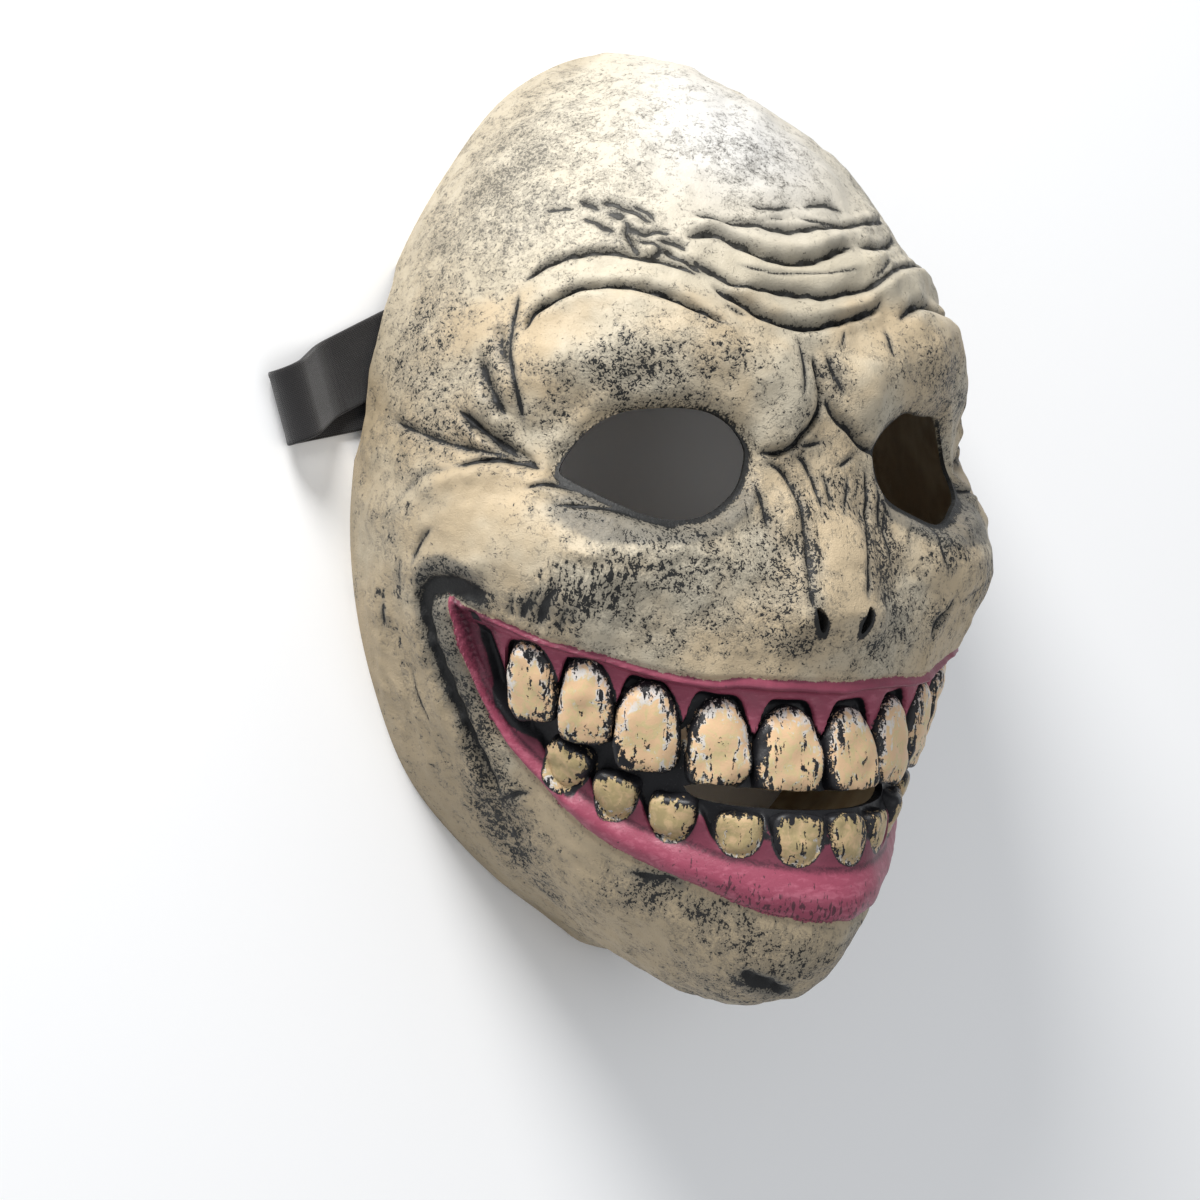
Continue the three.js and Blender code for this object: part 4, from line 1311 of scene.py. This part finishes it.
@dataclass(frozen=True)
class WovenElastic:
    """Charcoal elastic, woven in ribs along its length."""

    charcoal: Colour = (0.007, 0.0065, 0.0068)
    worn: Colour = (0.023, 0.021, 0.022)
    rib: float = 1.0
    pick: float = 0.55

    def build(self) -> bpy.types.Material:
        """Builds the material. Its pattern follows the band's own flat coordinates, in metres."""
        shader = Shader("woven_elastic")
        parts = shader.node("ShaderNodeSeparateXYZ", {}, {0: shader.flat_place})
        along, across = Socket(shader, parts.outputs[0]), Socket(shader, parts.outputs[1])
        ribs = across.maths("COSINE", across * (2 * math.pi * 1000 / self.rib))
        phase = ribs.step(-0.05, 0.05, 0.0, math.pi)
        picks = along.maths("SINE", along * (2 * math.pi * 1000 / self.pick) + phase)
        fuzz = shader.noise(0.35, 2.0, 0.6)
        wear = shader.noise(12.0, 2.0, 0.5)
        height = (1.0 - abs(ribs) * 0.5) * 0.5 + picks * 0.22 + fuzz * 0.25
        share = (height * 0.5 + wear * 0.35 + fuzz * 0.25 - 0.30).step(0.0, 0.55)
        colour = shader.mix(share, self.charcoal, self.worn)
        return shader.surface(colour, 0.82, shader.bumped(height, 0.22, 0.9), Specular_IOR_Level=0.3,
                              Sheen_Weight=0.25, Sheen_Roughness=0.5)


@dataclass(frozen=True)
class FloorPaint:
    """Plain pale floor."""

    white: Colour = (0.96, 0.96, 0.96)
    grey: Colour = (0.90, 0.90, 0.90)

    def build(self) -> bpy.types.Material:
        """Builds the material."""
        shader = Shader("pale_floor")
        return shader.surface(shader.mix(shader.noise(400.0, 1.0) * 0.06, self.white, self.grey), 0.85)


def clear_selection() -> None:
    """Leaves nothing selected and nothing in edit mode."""
    if bpy.context.object and bpy.context.object.mode != "OBJECT":
        bpy.ops.object.mode_set(mode="OBJECT")
    bpy.ops.object.select_all(action="DESELECT")


def named(name: str) -> bpy.types.Object:
    """Names the active object and its mesh, and gives it back."""
    piece = bpy.context.object
    piece.name = piece.data.name = name
    return piece


def read_points(mesh: bpy.types.Mesh) -> Array:
    """Reads a mesh's points, one a row."""
    flat = np.empty(len(mesh.vertices) * 3)
    mesh.vertices.foreach_get("co", flat)
    return flat.reshape(-1, 3)


def write_points(mesh: bpy.types.Mesh, points: Array) -> None:
    """Sets a mesh's points."""
    mesh.vertices.foreach_set("co", np.ascontiguousarray(points, dtype=float).ravel())
    mesh.update()


def placed(name: str, data: bpy.types.ID) -> bpy.types.Object:
    """Makes an object of some data and links it to the scene."""
    thing = bpy.data.objects.new(name, data)
    bpy.context.scene.collection.objects.link(thing)
    return thing


def activate(*pieces: bpy.types.Object) -> None:
    """Selects pieces and nothing else, with the first one active."""
    clear_selection()
    for piece in pieces:
        piece.select_set(True)
    bpy.context.view_layer.objects.active = pieces[0]


@contextmanager
def editing() -> Iterator[None]:
    """Opens the active mesh for editing with all of it selected, and closes it afterwards."""
    bpy.ops.object.mode_set(mode="EDIT")
    bpy.ops.mesh.select_all(action="SELECT")
    yield
    bpy.ops.object.mode_set(mode="OBJECT")


def apply_modifier(piece: bpy.types.Object, kind: str, **settings: object) -> None:
    """Adds a modifier to a piece and applies it.

    Args:
        piece: The piece.
        kind: The modifier's type.
        settings: Its properties.
    """
    activate(piece)
    modifier = piece.modifiers.new(kind.title(), kind)
    for name, value in settings.items():
        setattr(modifier, name, value)
    bpy.ops.object.modifier_apply(modifier=modifier.name)


def combine(piece: bpy.types.Object, tool: bpy.types.Object, operation: str) -> None:
    """Joins a solid to a piece, or cuts it out of it, by a Boolean operation, and removes the solid."""
    apply_modifier(piece, "BOOLEAN", operation=operation, object=tool, solver="MANIFOLD")
    bpy.data.objects.remove(tool)


@dataclass
class Casting:
    """The latex casting, from a dome and a hollow that are each drawn from a flat grid."""

    face: Face
    outer_cells: tuple[int, int] = (480, 580)
    inner_cells: tuple[int, int] = (100, 116)
    skirt: float = 6.0
    most_triangles: int = 186000
    plug_reach: tuple[float, float] = (-24.0, 16.0)
    slot_ends: tuple[float, float] = (-38.0, 32.0)
    slot_y: float = -72.0
    slot_height: float = 5.0
    slot_rise: float = 3.6
    arch_y: float = 43.0
    arch_half: float = 26.0
    arch_height: float = 4.8
    arch_from_middle: float = 77.5
    arch_depth: float = 45.0
    plain_wash: float = 0.41
    smooth_under: float = 60.0

    def grid_directions(self, cells: tuple[int, int], points: Array) -> tuple[Array, Array]:
        """Draws a square grid out to a disc and the disc over half a globe.

        Args:
            cells: Columns and rows.
            points: The grid's flat points, from -1 to 1.

        Returns:
            Unit directions, and True where a point is on the grid's edge.
        """
        across, up = points[:, 0], points[:, 1]
        edge = (np.abs(across) > 1 - 0.5 / cells[0]) | (np.abs(up) > 1 - 0.5 / cells[1])
        disc_x = across * np.sqrt(1 - up**2 / 2)
        disc_y = up * np.sqrt(1 - across**2 / 2)
        away = np.hypot(disc_x, disc_y)
        lean = np.radians(90.0) * np.minimum(away, 1.0)
        spread = np.sin(lean) / np.maximum(away, 1e-9)
        aims = np.stack([spread * disc_x, spread * disc_y, np.cos(lean)], axis=1)
        middle = away < 1e-9
        aims[middle] = (0.0, 0.0, 1.0)
        aims[edge, 2] = 1e-9
        return aims / np.linalg.norm(aims, axis=1)[:, None], edge

    def dome(self, name: str, cells: tuple[int, int], inside: bool) -> bpy.types.Object:
        """Makes the closed dome of the outside or of the hollow.

        Args:
            name: The piece's name.
            cells: Columns and rows of its grid.
            inside: Whether it is the hollow, which goes on below the rim.

        Returns:
            The dome.
        """
        clear_selection()
        bpy.ops.mesh.primitive_grid_add(x_subdivisions=cells[0], y_subdivisions=cells[1], size=2.0)
        piece = named(name)
        aims, edge = self.grid_directions(cells, read_points(piece.data))
        outer, inner = self.face.radii(aims)
        points = aims * (inner if inside else outer)[:, None]
        points[edge, 2] = 0.0
        write_points(piece.data, points * MM + (0.0, GLOBE_Y * MM, 0.0))
        with editing():
            bpy.ops.mesh.select_all(action="DESELECT")
            bpy.ops.mesh.select_mode(type="EDGE")
            bpy.ops.mesh.select_non_manifold(extend=False)
            if inside:
                bpy.ops.mesh.extrude_region_move(TRANSFORM_OT_translate={"value": (0.0, 0.0, -self.skirt * MM)})
            bpy.ops.mesh.edge_face_add()
            bpy.ops.mesh.select_all(action="SELECT")
            bpy.ops.mesh.normals_make_consistent(inside=False)
        return piece

    def plug(self, name: str, loop: Array) -> bpy.types.Object:
        """Makes the solid that cuts a hole level with the rim's plane.

        Args:
            name: The solid's name.
            loop: The hole's outline in mm round and up the face.

        Returns:
            The solid.
        """
        places = self.face.globe.place(loop[:, 0], loop[:, 1])
        level = np.hypot(places[:, 0], places[:, 2])
        rings = []
        for extra in self.plug_reach:
            scale = 1 + extra / level
            rings.append(np.stack([places[:, 0] * scale, places[:, 1] + GLOBE_Y, places[:, 2] * scale], axis=1))
        clear_selection()
        bpy.ops.mesh.primitive_cylinder_add(vertices=len(loop), radius=1.0, depth=2.0, end_fill_type="TRIFAN")
        piece = named(name)
        points = read_points(piece.data)
        turned = np.arctan2(points[:, 1], points[:, 0])
        number = np.round((turned - turned[0]) / (2 * math.pi) * len(loop)).astype(int) % len(loop)
        ring_of = np.where(points[:, 2] > 0, 1, 0)
        centre = np.hypot(points[:, 0], points[:, 1]) < 0.5
        for index in range(len(points)):
            ring = rings[ring_of[index]]
            points[index] = ring.mean(axis=0) if centre[index] else ring[number[index]]
        write_points(piece.data, points * MM)
        with editing():
            bpy.ops.mesh.normals_make_consistent(inside=False)
        return piece

    def slot_loop(self) -> Array:
        """Outlines the slot between the two rows of teeth, anticlockwise."""
        left, right = self.slot_ends
        s = np.linspace(left, right, 29)
        line = self.slot_y + self.slot_rise * (s / left) ** 2
        from_middle = np.abs(2 * (s - left) / (right - left) - 1)
        half = self.slot_height / 2 * np.minimum(1.0, np.sqrt(np.maximum(0.04, 1 - from_middle**8)))
        ragged = 0.25 * np.sin(s * 0.9)
        return np.vstack([np.stack([s, line - half], axis=1), np.stack([s, line + half + ragged], axis=1)[::-1]])

    def arch_block(self, side: float) -> bpy.types.Object:
        """Makes the block that cuts the low arch at one temple, which the band passes under.

        Args:
            side: -1 for the wearer's right and 1 for the left.

        Returns:
            The block.
        """
        clear_selection()
        bpy.ops.mesh.primitive_cube_add(size=1.0)
        piece = named("arch_block")
        with editing():
            bpy.ops.mesh.subdivide(number_cuts=20)
        points = read_points(piece.data)
        along = 2 * points[:, 1]
        top = self.arch_height * (1 - along**4)
        lift = np.where(points[:, 2] > 0, top * (points[:, 2] * 2), points[:, 2] * 4)
        out = side * (self.arch_from_middle + self.arch_depth * points[:, 0] * side)
        placed_at = np.stack([out, self.arch_y + self.arch_half * along, lift], axis=1)
        write_points(piece.data, (placed_at + (0.0, GLOBE_Y, 0.0)) * MM)
        with editing():
            bpy.ops.mesh.remove_doubles(threshold=1e-6)
            bpy.ops.mesh.normals_make_consistent(inside=False)
        return piece

    def build(self) -> bpy.types.Object:
        """Makes the casting with its teeth and holes, and gives it its paint places and finishes."""
        piece = self.dome("mask_casting", self.outer_cells, False)
        jaws = Teeth(self.face)
        combine(piece, jaws.build(), "UNION")
        combine(piece, self.dome("hollow", self.inner_cells, True), "DIFFERENCE")
        for number, loop in enumerate(self.face.eyes):
            combine(piece, self.plug(f"eye_plug_{number}", loop), "DIFFERENCE")
        for side, nostril in zip((-1.0, 1.0), self.face.nostrils):
            combine(piece, self.plug("nostril_plug", nostril.loop()), "DIFFERENCE")
            combine(piece, self.arch_block(side), "DIFFERENCE")
        combine(piece, self.plug("slot_plug", self.slot_loop()), "DIFFERENCE")
        apply_modifier(piece, "TRIANGULATE")
        full = len(piece.data.polygons)
        apply_modifier(piece, "DECIMATE", ratio=min(1.0, self.most_triangles / full))
        log.info("casting: %d triangles, from %d", len(piece.data.polygons), full)
        self.dress(piece, jaws)
        return piece

    def skin_numbers(self, s: Array, y: Array, lips: Array) -> dict[str, Array]:
        """Works out the numbers that the skin's paint reads.

        Args:
            s: Millimetres round the face.
            y: Millimetres up the face.
            lips: How far inside the lips' outer edge it is.

        Returns:
            The numbers by name.
        """
        side = np.abs(s)
        _, ink, halo = self.face.strokes(s, y)
        # the film is denser round the creases, partly wash and partly painted shade
        wash = self.plain_wash + patch_sum(WASHES, s, y) + 0.18 * halo
        # edges of the eye holes: black paint close round each, and a wider painted shade under the brows
        eye = self.face.eye_distance(s, y)
        past_eye = np.maximum(eye, 0.0)
        ink = np.maximum(ink, 0.95 * bump(past_eye, 1.7))
        ink = np.maximum(ink, 0.55 * bump(past_eye, 4.5) * smooth(8.0, 20.0, y + 0.2 * (side - 40)))
        # the fold round the corner of the mouth, and the skin between it and the lips
        fold, _ = line_distance(SMILE_FOLD.curves()[0], -side, y)
        ink = np.maximum(ink, 1.1 * bump(fold, from_table(FOLD_INK, y)) * smooth(-76.0, -66.0, y)
                         * smooth(88.0, 95.0, side))
        wash += 0.35 * bump(fold, 4.0)
        between = smooth(0.5, -0.5, lips) * smooth(-12.0, -9.0, lips) * smooth(88.0, 97.0, side)
        halo = np.maximum(halo, 1.3 * between * smooth(-62.0, -42.0, y))
        wash += 0.42 * between * smooth(-64.0, -44.0, y)
        # the dark strip below the eye holes
        below_eye = smooth(0.0, 3.4, from_table(((48.0, 7.6), (62.0, 12.5)), side) - eye)
        below_eye = below_eye * smooth(13.0, 4.0, y) * smooth(80.0, 66.0, side)
        halo = np.maximum(halo, 1.7 * below_eye)
        wash += 0.2 * below_eye
        for nostril in self.face.nostrils:
            ink = np.maximum(ink, nostril.ink(s, y))
        # olive tone, partly warmer paint and partly painted shade: more towards the rim sides and the chin, less on
        # the forehead
        low, high = 0.35 * smooth(-60.0, -95.0, y), 0.25 * smooth(40.0, 100.0, y)
        # whiter towards the top of the forehead, partly paler paint and partly painted sheen, and less pale towards
        # the chin
        pale_tone_and_sheen = 0.30 * smooth(48.0, 75.0, y) - 0.10 * smooth(-10.0, -60.0, y) + patch_sum(SHADE_AND_SHEEN_PATCHES, s, y)
        return {
            "crease": ink, "halo": halo, "wash": wash, "olive_tone_and_shade": 0.25 + 0.55 * smooth(70.0, 125.0, side) + low - high,
            "pale_tone_and_sheen": pale_tone_and_sheen, "pits": patch_sum(PITTED, s, y),
            "streak": np.clip(patch_sum(STREAKED, s, y), 0.0, 1.0),
        }

    def mouth_numbers(self, s: Array, y: Array, lips: Array, upper_gap: Array, lower_gap: Array) -> dict[str, Array]:
        """Works out the numbers that the paint of the lips, the gums and the mouth's floor reads.

        Args:
            s: Millimetres round the face.
            y: Millimetres up the face.
            lips: How far inside the lips' outer edge it is.
            upper_gap: Distance to the upper lip's edge.
            lower_gap: Distance to the lower lip's edge.

        Returns:
            The numbers by name.
        """
        side = np.abs(s)
        width, thin = from_table(LIP_WIDTH, side), from_table(UPPER_WIDTH, side)
        off_lower_lip = smooth(0.8 * width, 1.1 * width, lower_gap)
        gum = 0.12 + 0.88 * smooth(-4.0, 4.0, upper_gap - lower_gap) + 0.4 * smooth(thin + 0.9, thin, upper_gap)
        # painted shadow where the lips meet the gums and in the mouth's corners
        lip_shadow = np.maximum.reduce([
            0.7 * bump(upper_gap - thin - 0.2, 0.5) * smooth(100.0, 90.0, side),
            0.8 * bump(lower_gap - width, 0.9),
            0.7 * smooth(84.0, 93.0, side) * off_lower_lip,
        ])
        return {
            "lips": lips, "floor": self.face.floor_distance(s, y, lips), "gum": gum * off_lower_lip, "lip_shadow": lip_shadow,
            "nicks": smooth(11.0, 3.0, lower_gap) * (smooth(56.0, 24.0, side) + 0.2),
        }

    def dress(self, piece: bpy.types.Object, jaws: "Teeth") -> None:
        """Gives the casting its finishes, and the numbers that they read.

        Args:
            piece: The casting.
            jaws: The teeth.
        """
        mesh = piece.data
        points = read_points(mesh) / MM - (0.0, GLOBE_Y, 0.0)
        s, y = place_of(points, self.face)
        gaps = self.face.lip_distances(s, y)
        numbers = self.skin_numbers(s, y, gaps[0]) | self.mouth_numbers(s, y, *gaps) | jaws.numbers(points)
        for name, values in numbers.items():
            mesh.attributes.new(name, "FLOAT", "POINT").data.foreach_set("value", values.astype(np.float32))
        mesh.materials.clear()
        for finish in (FacePaint(), BareLatex()):
            mesh.materials.append(finish.build())
        corners = np.empty(len(mesh.loops), dtype=int)
        mesh.loops.foreach_get("vertex_index", corners)
        centres = points[corners.reshape(-1, 3)].mean(axis=1)
        away = np.linalg.norm(centres, axis=1)
        _, inner = self.face.radii(centres / away[:, None])
        bare = (away < inner + 0.25) & (centres[:, 2] > 0.01)
        mesh.polygons.foreach_set("material_index", bare.astype(int))
        activate(piece)
        bpy.ops.object.shade_smooth_by_angle(angle=math.radians(self.smooth_under))


class Teeth:
    """The two rows of teeth, each tooth a block that is rounder at its gum than at its free end."""

    depth: float = 9.0
    upper_front: float = 0.4
    lower_front: float = -1.0
    cuts: int = 11
    roughness: float = 0.20

    def __init__(self, face: Face) -> None:
        """Works out each tooth's place on the jaw.

        Args:
            face: The face.
        """
        self.teeth = face.teeth
        self.frames: list[tuple[Array, Array]] = []
        for tooth in self.teeth:
            middle_y = (tooth.top + tooth.bottom) / 2
            spots = face.globe.place(np.array([tooth.s, tooth.s + 2.0, tooth.s]),
                                     np.array([middle_y, middle_y, middle_y + 2.0]))
            across = (spots[1] - spots[0]) / np.linalg.norm(spots[1] - spots[0])
            normal = np.cross(across, spots[2] - spots[0])
            normal /= np.linalg.norm(normal)
            up = np.cross(normal, across)
            turn = math.radians(-tooth.lean)
            across, up = across * math.cos(turn) + up * math.sin(turn), up * math.cos(turn) - across * math.sin(turn)
            front = self.upper_front if tooth.upper else self.lower_front
            centre = spots[0] + normal * (front - self.depth / 2)
            self.frames.append((centre, np.stack([across, up, normal])))

    def halves(self, tooth: Tooth) -> Array:
        """Gives half of a tooth's width, length and depth."""
        return np.array([tooth.width, tooth.top - tooth.bottom, self.depth]) / 2

    def taper(self, free: Array) -> Array:
        """Gives a tooth's share of its full width, at places from -1 at its gum to 1 at its free end."""
        return 0.84 + 0.16 * smooth(-0.9, 0.5, free)

    def build(self) -> bpy.types.Object:
        """Makes all the teeth as one object of closed solids."""
        pieces = []
        ripple = Ripple(6.0, 21)
        for tooth, (centre, axes) in zip(self.teeth, self.frames):
            clear_selection()
            bpy.ops.mesh.primitive_cube_add(size=2.0)
            piece = named("tooth")
            with editing():
                bpy.ops.mesh.subdivide(number_cuts=self.cuts)
                bpy.ops.mesh.remove_doubles(threshold=1e-6)
            cube = read_points(piece.data)
            cube = np.sin(cube * math.pi / 4) / math.sin(math.pi / 4)
            down = -1.0 if tooth.upper else 1.0
            power = 2.3 + 2.5 * smooth(-0.6, 0.8, down * cube[:, 1])
            size = (np.abs(cube) ** power[:, None]).sum(axis=1) ** (1 / power)
            unit = cube / size[:, None]
            unit[:, 0] *= self.taper(down * unit[:, 1])
            points = centre + (unit * self.halves(tooth)) @ axes
            points += unit @ axes * (self.roughness * ripple.at(points))[:, None]
            write_points(piece.data, (points + (0.0, GLOBE_Y, 0.0)) * MM)
            pieces.append(piece)
        activate(*pieces)
        bpy.ops.object.join()
        return named("teeth")

    def local(self, number: int, points: Array) -> Array:
        """Turns points into a tooth's own places, from -1 to 1 each way."""
        centre, axes = self.frames[number]
        return (points - centre) @ axes.T / self.halves(self.teeth[number])

    def places(self, points: Array) -> tuple[Array, Array, Array]:
        """Gives each point its place on the nearest tooth.

        Args:
            points: Points in mm from the globe's middle.

        Returns:
            Places across and up the tooth, and the tooth's number.
        """
        nearest = np.full(len(points), np.inf)
        across, up, which = np.zeros(len(points)), np.zeros(len(points)), np.zeros(len(points), dtype=int)
        for number in range(len(self.teeth)):
            own = self.local(number, points)
            away = (np.abs(own[:, :2]) ** 3).sum(axis=1) + (np.abs(own[:, 2]) / 6) ** 3
            nearer = away < nearest
            nearest[nearer], across[nearer], up[nearer], which[nearer] = away[nearer], *own[nearer, :2].T, number
        return across, up, which

    def numbers(self, points: Array) -> dict[str, Array]:
        """Works out the numbers that the teeth's paint reads, for points in mm from the globe's middle."""
        across, up, which = self.places(points)
        lower = np.array([0.0 if tooth.upper else 1.0 for tooth in self.teeth])[which]
        free = np.where(lower > 0.5, up, -up)
        across /= self.taper(free)
        power = 2.4 + 1.9 * smooth(-0.6, 0.8, free)
        rim = (np.abs(across) ** power + np.abs(free) ** power) ** (1 / power)
        return {"tooth_across": across, "tooth_free": free, "tooth_lower": lower, "tooth_rim": rim}


@dataclass
class Band:
    """The flat elastic band, walked along its middle from inside one temple to the other."""

    width: float = 20.0
    thick: float = 1.2
    start: tuple[float, float, float] = (-68.8, 61.5, 20.0)
    wall_angle: float = 19.5
    slant: float = 44.0
    fold_skew: float = 6.8
    end_skew: float = 10.0
    step: float = 2.0
    smooth_under: float = 50.0
    stations: list[tuple[Array, Array, Array]] = field(default_factory=list)

    def __post_init__(self) -> None:
        """Stands at the band's start inside the right temple, and heads down along the wall."""
        wall, slant = math.radians(self.wall_angle), math.radians(self.slant)
        along = np.array([math.sin(wall), math.cos(wall), 0.0])
        self.facing = np.array([math.cos(wall), -math.sin(wall), 0.0])
        self.heading = np.array([0.0, 0.0, -math.cos(slant)]) - along * math.sin(slant)
        self.place = np.array(self.start)

    def mark(self, skew: float) -> None:
        """Keeps the place that the walk has reached, with the line across the band there."""
        line = np.cross(self.heading, self.facing) + self.heading * math.tan(math.radians(skew))
        self.stations.append((self.place.copy(), line, self.facing.copy()))

    def run(self, length: float, before: float, after: float) -> None:
        """Runs straight on.

        Args:
            length: Length in mm.
            before: Skew of the line across at the start, in degrees.
            after: Skew at the end.
        """
        steps = max(1, round(length / self.step))
        for number in range(1, steps + 1):
            self.place = self.place + self.heading * (length / steps)
            self.mark(before + (after - before) * number / steps)

    def turn(self, angle: float, radius: float, skew: float, steps: int) -> None:
        """Bends towards the face that looks up, or away from it for an angle below 0.

        Args:
            angle: Angle in degrees.
            radius: Radius in mm.
            skew: How far the bend lies off square, in degrees.
            steps: Number of steps.
        """
        part = math.radians(angle) / steps
        for _ in range(steps):
            lean = math.radians(skew)
            axis = np.cross(self.heading, self.facing) * math.cos(lean) + self.heading * math.sin(lean)
            turned = np.array(Matrix.Rotation(part, 3, Vector(axis)))
            arm = self.facing * (-radius * math.copysign(1.0, angle))
            self.place = self.place - arm + turned @ arm + axis * (radius * abs(part) * math.tan(lean))
            self.heading, self.facing = turned @ self.heading, turned @ self.facing
            self.mark(skew)

    def walk(self) -> None:
        """Walks out under the rim, round the fold, back across the floor and up the left temple's wall."""
        self.mark(0.0)
        self.run(20.0, 0.0, self.slant)
        self.turn(-90.0, 3.0, self.slant, 12)
        self.run(14.0, self.slant, self.fold_skew)
        self.turn(-35.0, 12.0, self.fold_skew, 8)
        self.run(8.0, self.fold_skew, self.fold_skew)
        self.turn(215.0, 4.7, self.fold_skew, 28)
        self.run(171.5, self.fold_skew, self.end_skew)
        self.turn(90.0, 5.0, self.end_skew, 12)
        self.run(20.0, self.end_skew, 0.0)

    def section(self) -> list[Place]:
        """Gives the band's section, with soft edges and a raised selvedge, as shares across and through."""
        left = [(-0.5, 0.12), (-0.492, 0.40), (-0.475, 0.5), (-0.44, 0.5), (-0.41, 0.42), (-0.2, 0.42)]
        upper = [*left, (0.0, 0.42), *((-across, through) for across, through in reversed(left))]
        return upper + [(-across, -through) for across, through in upper]

    def strip(self, travelled: list[float]) -> bpy.types.Mesh:
        """Makes the band's mesh with its own flat coordinates.

        Args:
            travelled: Millimetres along the band at each station.

        Returns:
            The mesh.
        """
        section = self.section()
        mesh = bpy.data.meshes.new("band_strip")
        shape = bmesh.new()
        flat = shape.loops.layers.uv.new("flat")
        rings = []
        for place, line, facing in self.stations:
            centre = place + (0.0, GLOBE_Y, 0.0)
            rings.append([
                shape.verts.new((centre + line * (across * self.width) + facing * (through * self.thick)) * MM)
                for across, through in section
            ])
        for number in range(len(rings) - 1):
            for corner in range(len(section)):
                spots = ((number, corner), (number + 1, corner),
                         (number + 1, (corner + 1) % len(section)), (number, (corner + 1) % len(section)))
                quad = shape.faces.new([rings[ring][point] for ring, point in spots])
                for loop, (ring, point) in zip(quad.loops, spots):
                    loop[flat].uv = (travelled[ring] * MM, (section[point][0] + 0.5) * self.width * MM)
        shape.faces.new(rings[0])
        shape.faces.new(reversed(rings[-1]))
        bmesh.ops.recalc_face_normals(shape, faces=shape.faces)
        shape.to_mesh(mesh)
        shape.free()
        mesh.materials.append(WovenElastic().build())
        return mesh

    def build(self) -> bpy.types.Object:
        self.walk()
        travelled = [0.0]
        for before, after in zip(self.stations[:-1], self.stations[1:]):
            travelled.append(travelled[-1] + float(np.linalg.norm(after[0] - before[0])))
        piece = placed("band_strip", self.strip(travelled))
        activate(piece)
        bpy.ops.object.shade_smooth_by_angle(angle=math.radians(self.smooth_under))
        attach(piece, "root")
        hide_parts("elastic_band")
        return piece


@dataclass(frozen=True)
class Lamp:
    """A round soft light aimed at the mask."""

    name: str
    towards: tuple[float, float, float]  # parts to the camera's right, up the picture and back to the camera
    away: float  # metres
    size: float  # metres
    power: float  # watts
    colour: Colour


@dataclass(frozen=True)
class Studio:
    """Camera at the photograph's angle, pale floor and soft lights."""

    turn: float = 35.0
    distance: float = 1450.0
    lens: float = 163.125
    sensor: float = 36.0
    aim: tuple[float, float, float] = (-3.5, -20.0, 37.0)
    light_aim: tuple[float, float, float] = (0.0, 0.0, 0.04)  # metres
    floor_size: float = 8.0  # metres
    sky: tuple[float, float, float, float] = (0.93, 0.96, 1.0, 1.0)
    sky_strength: float = 0.50
    lamps: tuple[Lamp, ...] = (
        Lamp("key_light", (-0.30, 1.0, 0.70), 1.5, 0.6, 32.0, (1.0, 0.99, 0.975)),
        Lamp("fill_light", (0.7, -0.1, 1.0), 1.8, 1.4, 5.0, (0.97, 0.98, 1.0)),
    )

    def axes(self) -> tuple[Vector, Vector, Vector]:
        """Gives the camera's right, up and backward directions."""
        turn = math.radians(self.turn)
        return (Vector((math.cos(turn), 0, math.sin(turn))), Vector((0, 1, 0)),
                Vector((-math.sin(turn), 0, math.cos(turn))))

    def camera(self) -> None:
        """Sets the camera."""
        right, up, back = self.axes()
        across, lifted, away = self.aim
        target = right * across + up * (lifted + GLOBE_Y) + back * away
        data = bpy.data.cameras.new("camera")
        data.lens, data.sensor_width, data.sensor_height, data.sensor_fit = self.lens, self.sensor, self.sensor, "AUTO"
        data.clip_start, data.clip_end = 0.01, 20.0
        camera = placed("camera", data)
        turned = Matrix((right, up, back)).transposed().to_4x4()
        camera.matrix_world = Matrix.Translation((target + back * self.distance) * MM) @ turned
        bpy.context.scene.camera = camera

    def light(self, lamp: Lamp) -> None:
        """Adds a light."""
        axes = self.axes()
        heading = (axes[0] * lamp.towards[0] + axes[1] * lamp.towards[1] + axes[2] * lamp.towards[2]).normalized()
        data = bpy.data.lights.new(lamp.name, "AREA")
        data.shape, data.size, data.energy, data.color = "DISK", lamp.size, lamp.power, lamp.colour
        placed(lamp.name, data).matrix_world = Matrix.Translation(heading * lamp.away + Vector(self.light_aim)) @ (
            heading.to_track_quat("Z", "Y").to_matrix().to_4x4())

    def build(self) -> None:
        """Sets the floor, the lights and the sky."""
        clear_selection()
        bpy.ops.mesh.primitive_plane_add(size=self.floor_size)
        floor = named("floor")
        floor.data.materials.append(FloorPaint().build())
        for lamp in self.lamps:
            self.light(lamp)
        world = bpy.data.worlds.new("sky")
        world.use_nodes = True
        background = world.node_tree.nodes["Background"].inputs
        background["Color"].default_value = self.sky
        background["Strength"].default_value = self.sky_strength
        bpy.context.scene.world = world
        bpy.context.scene.view_settings.view_transform = "Standard"


def main() -> None:
    """Builds the camera, the band, the casting and the studio in order."""
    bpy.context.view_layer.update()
    studio = Studio()
    studio.camera()
    Band().build()
    casting = Casting(Face()).build()
    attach(casting, "root")
    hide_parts("mask_shell")
    studio.build()


if __name__ == "__main__":
    main()
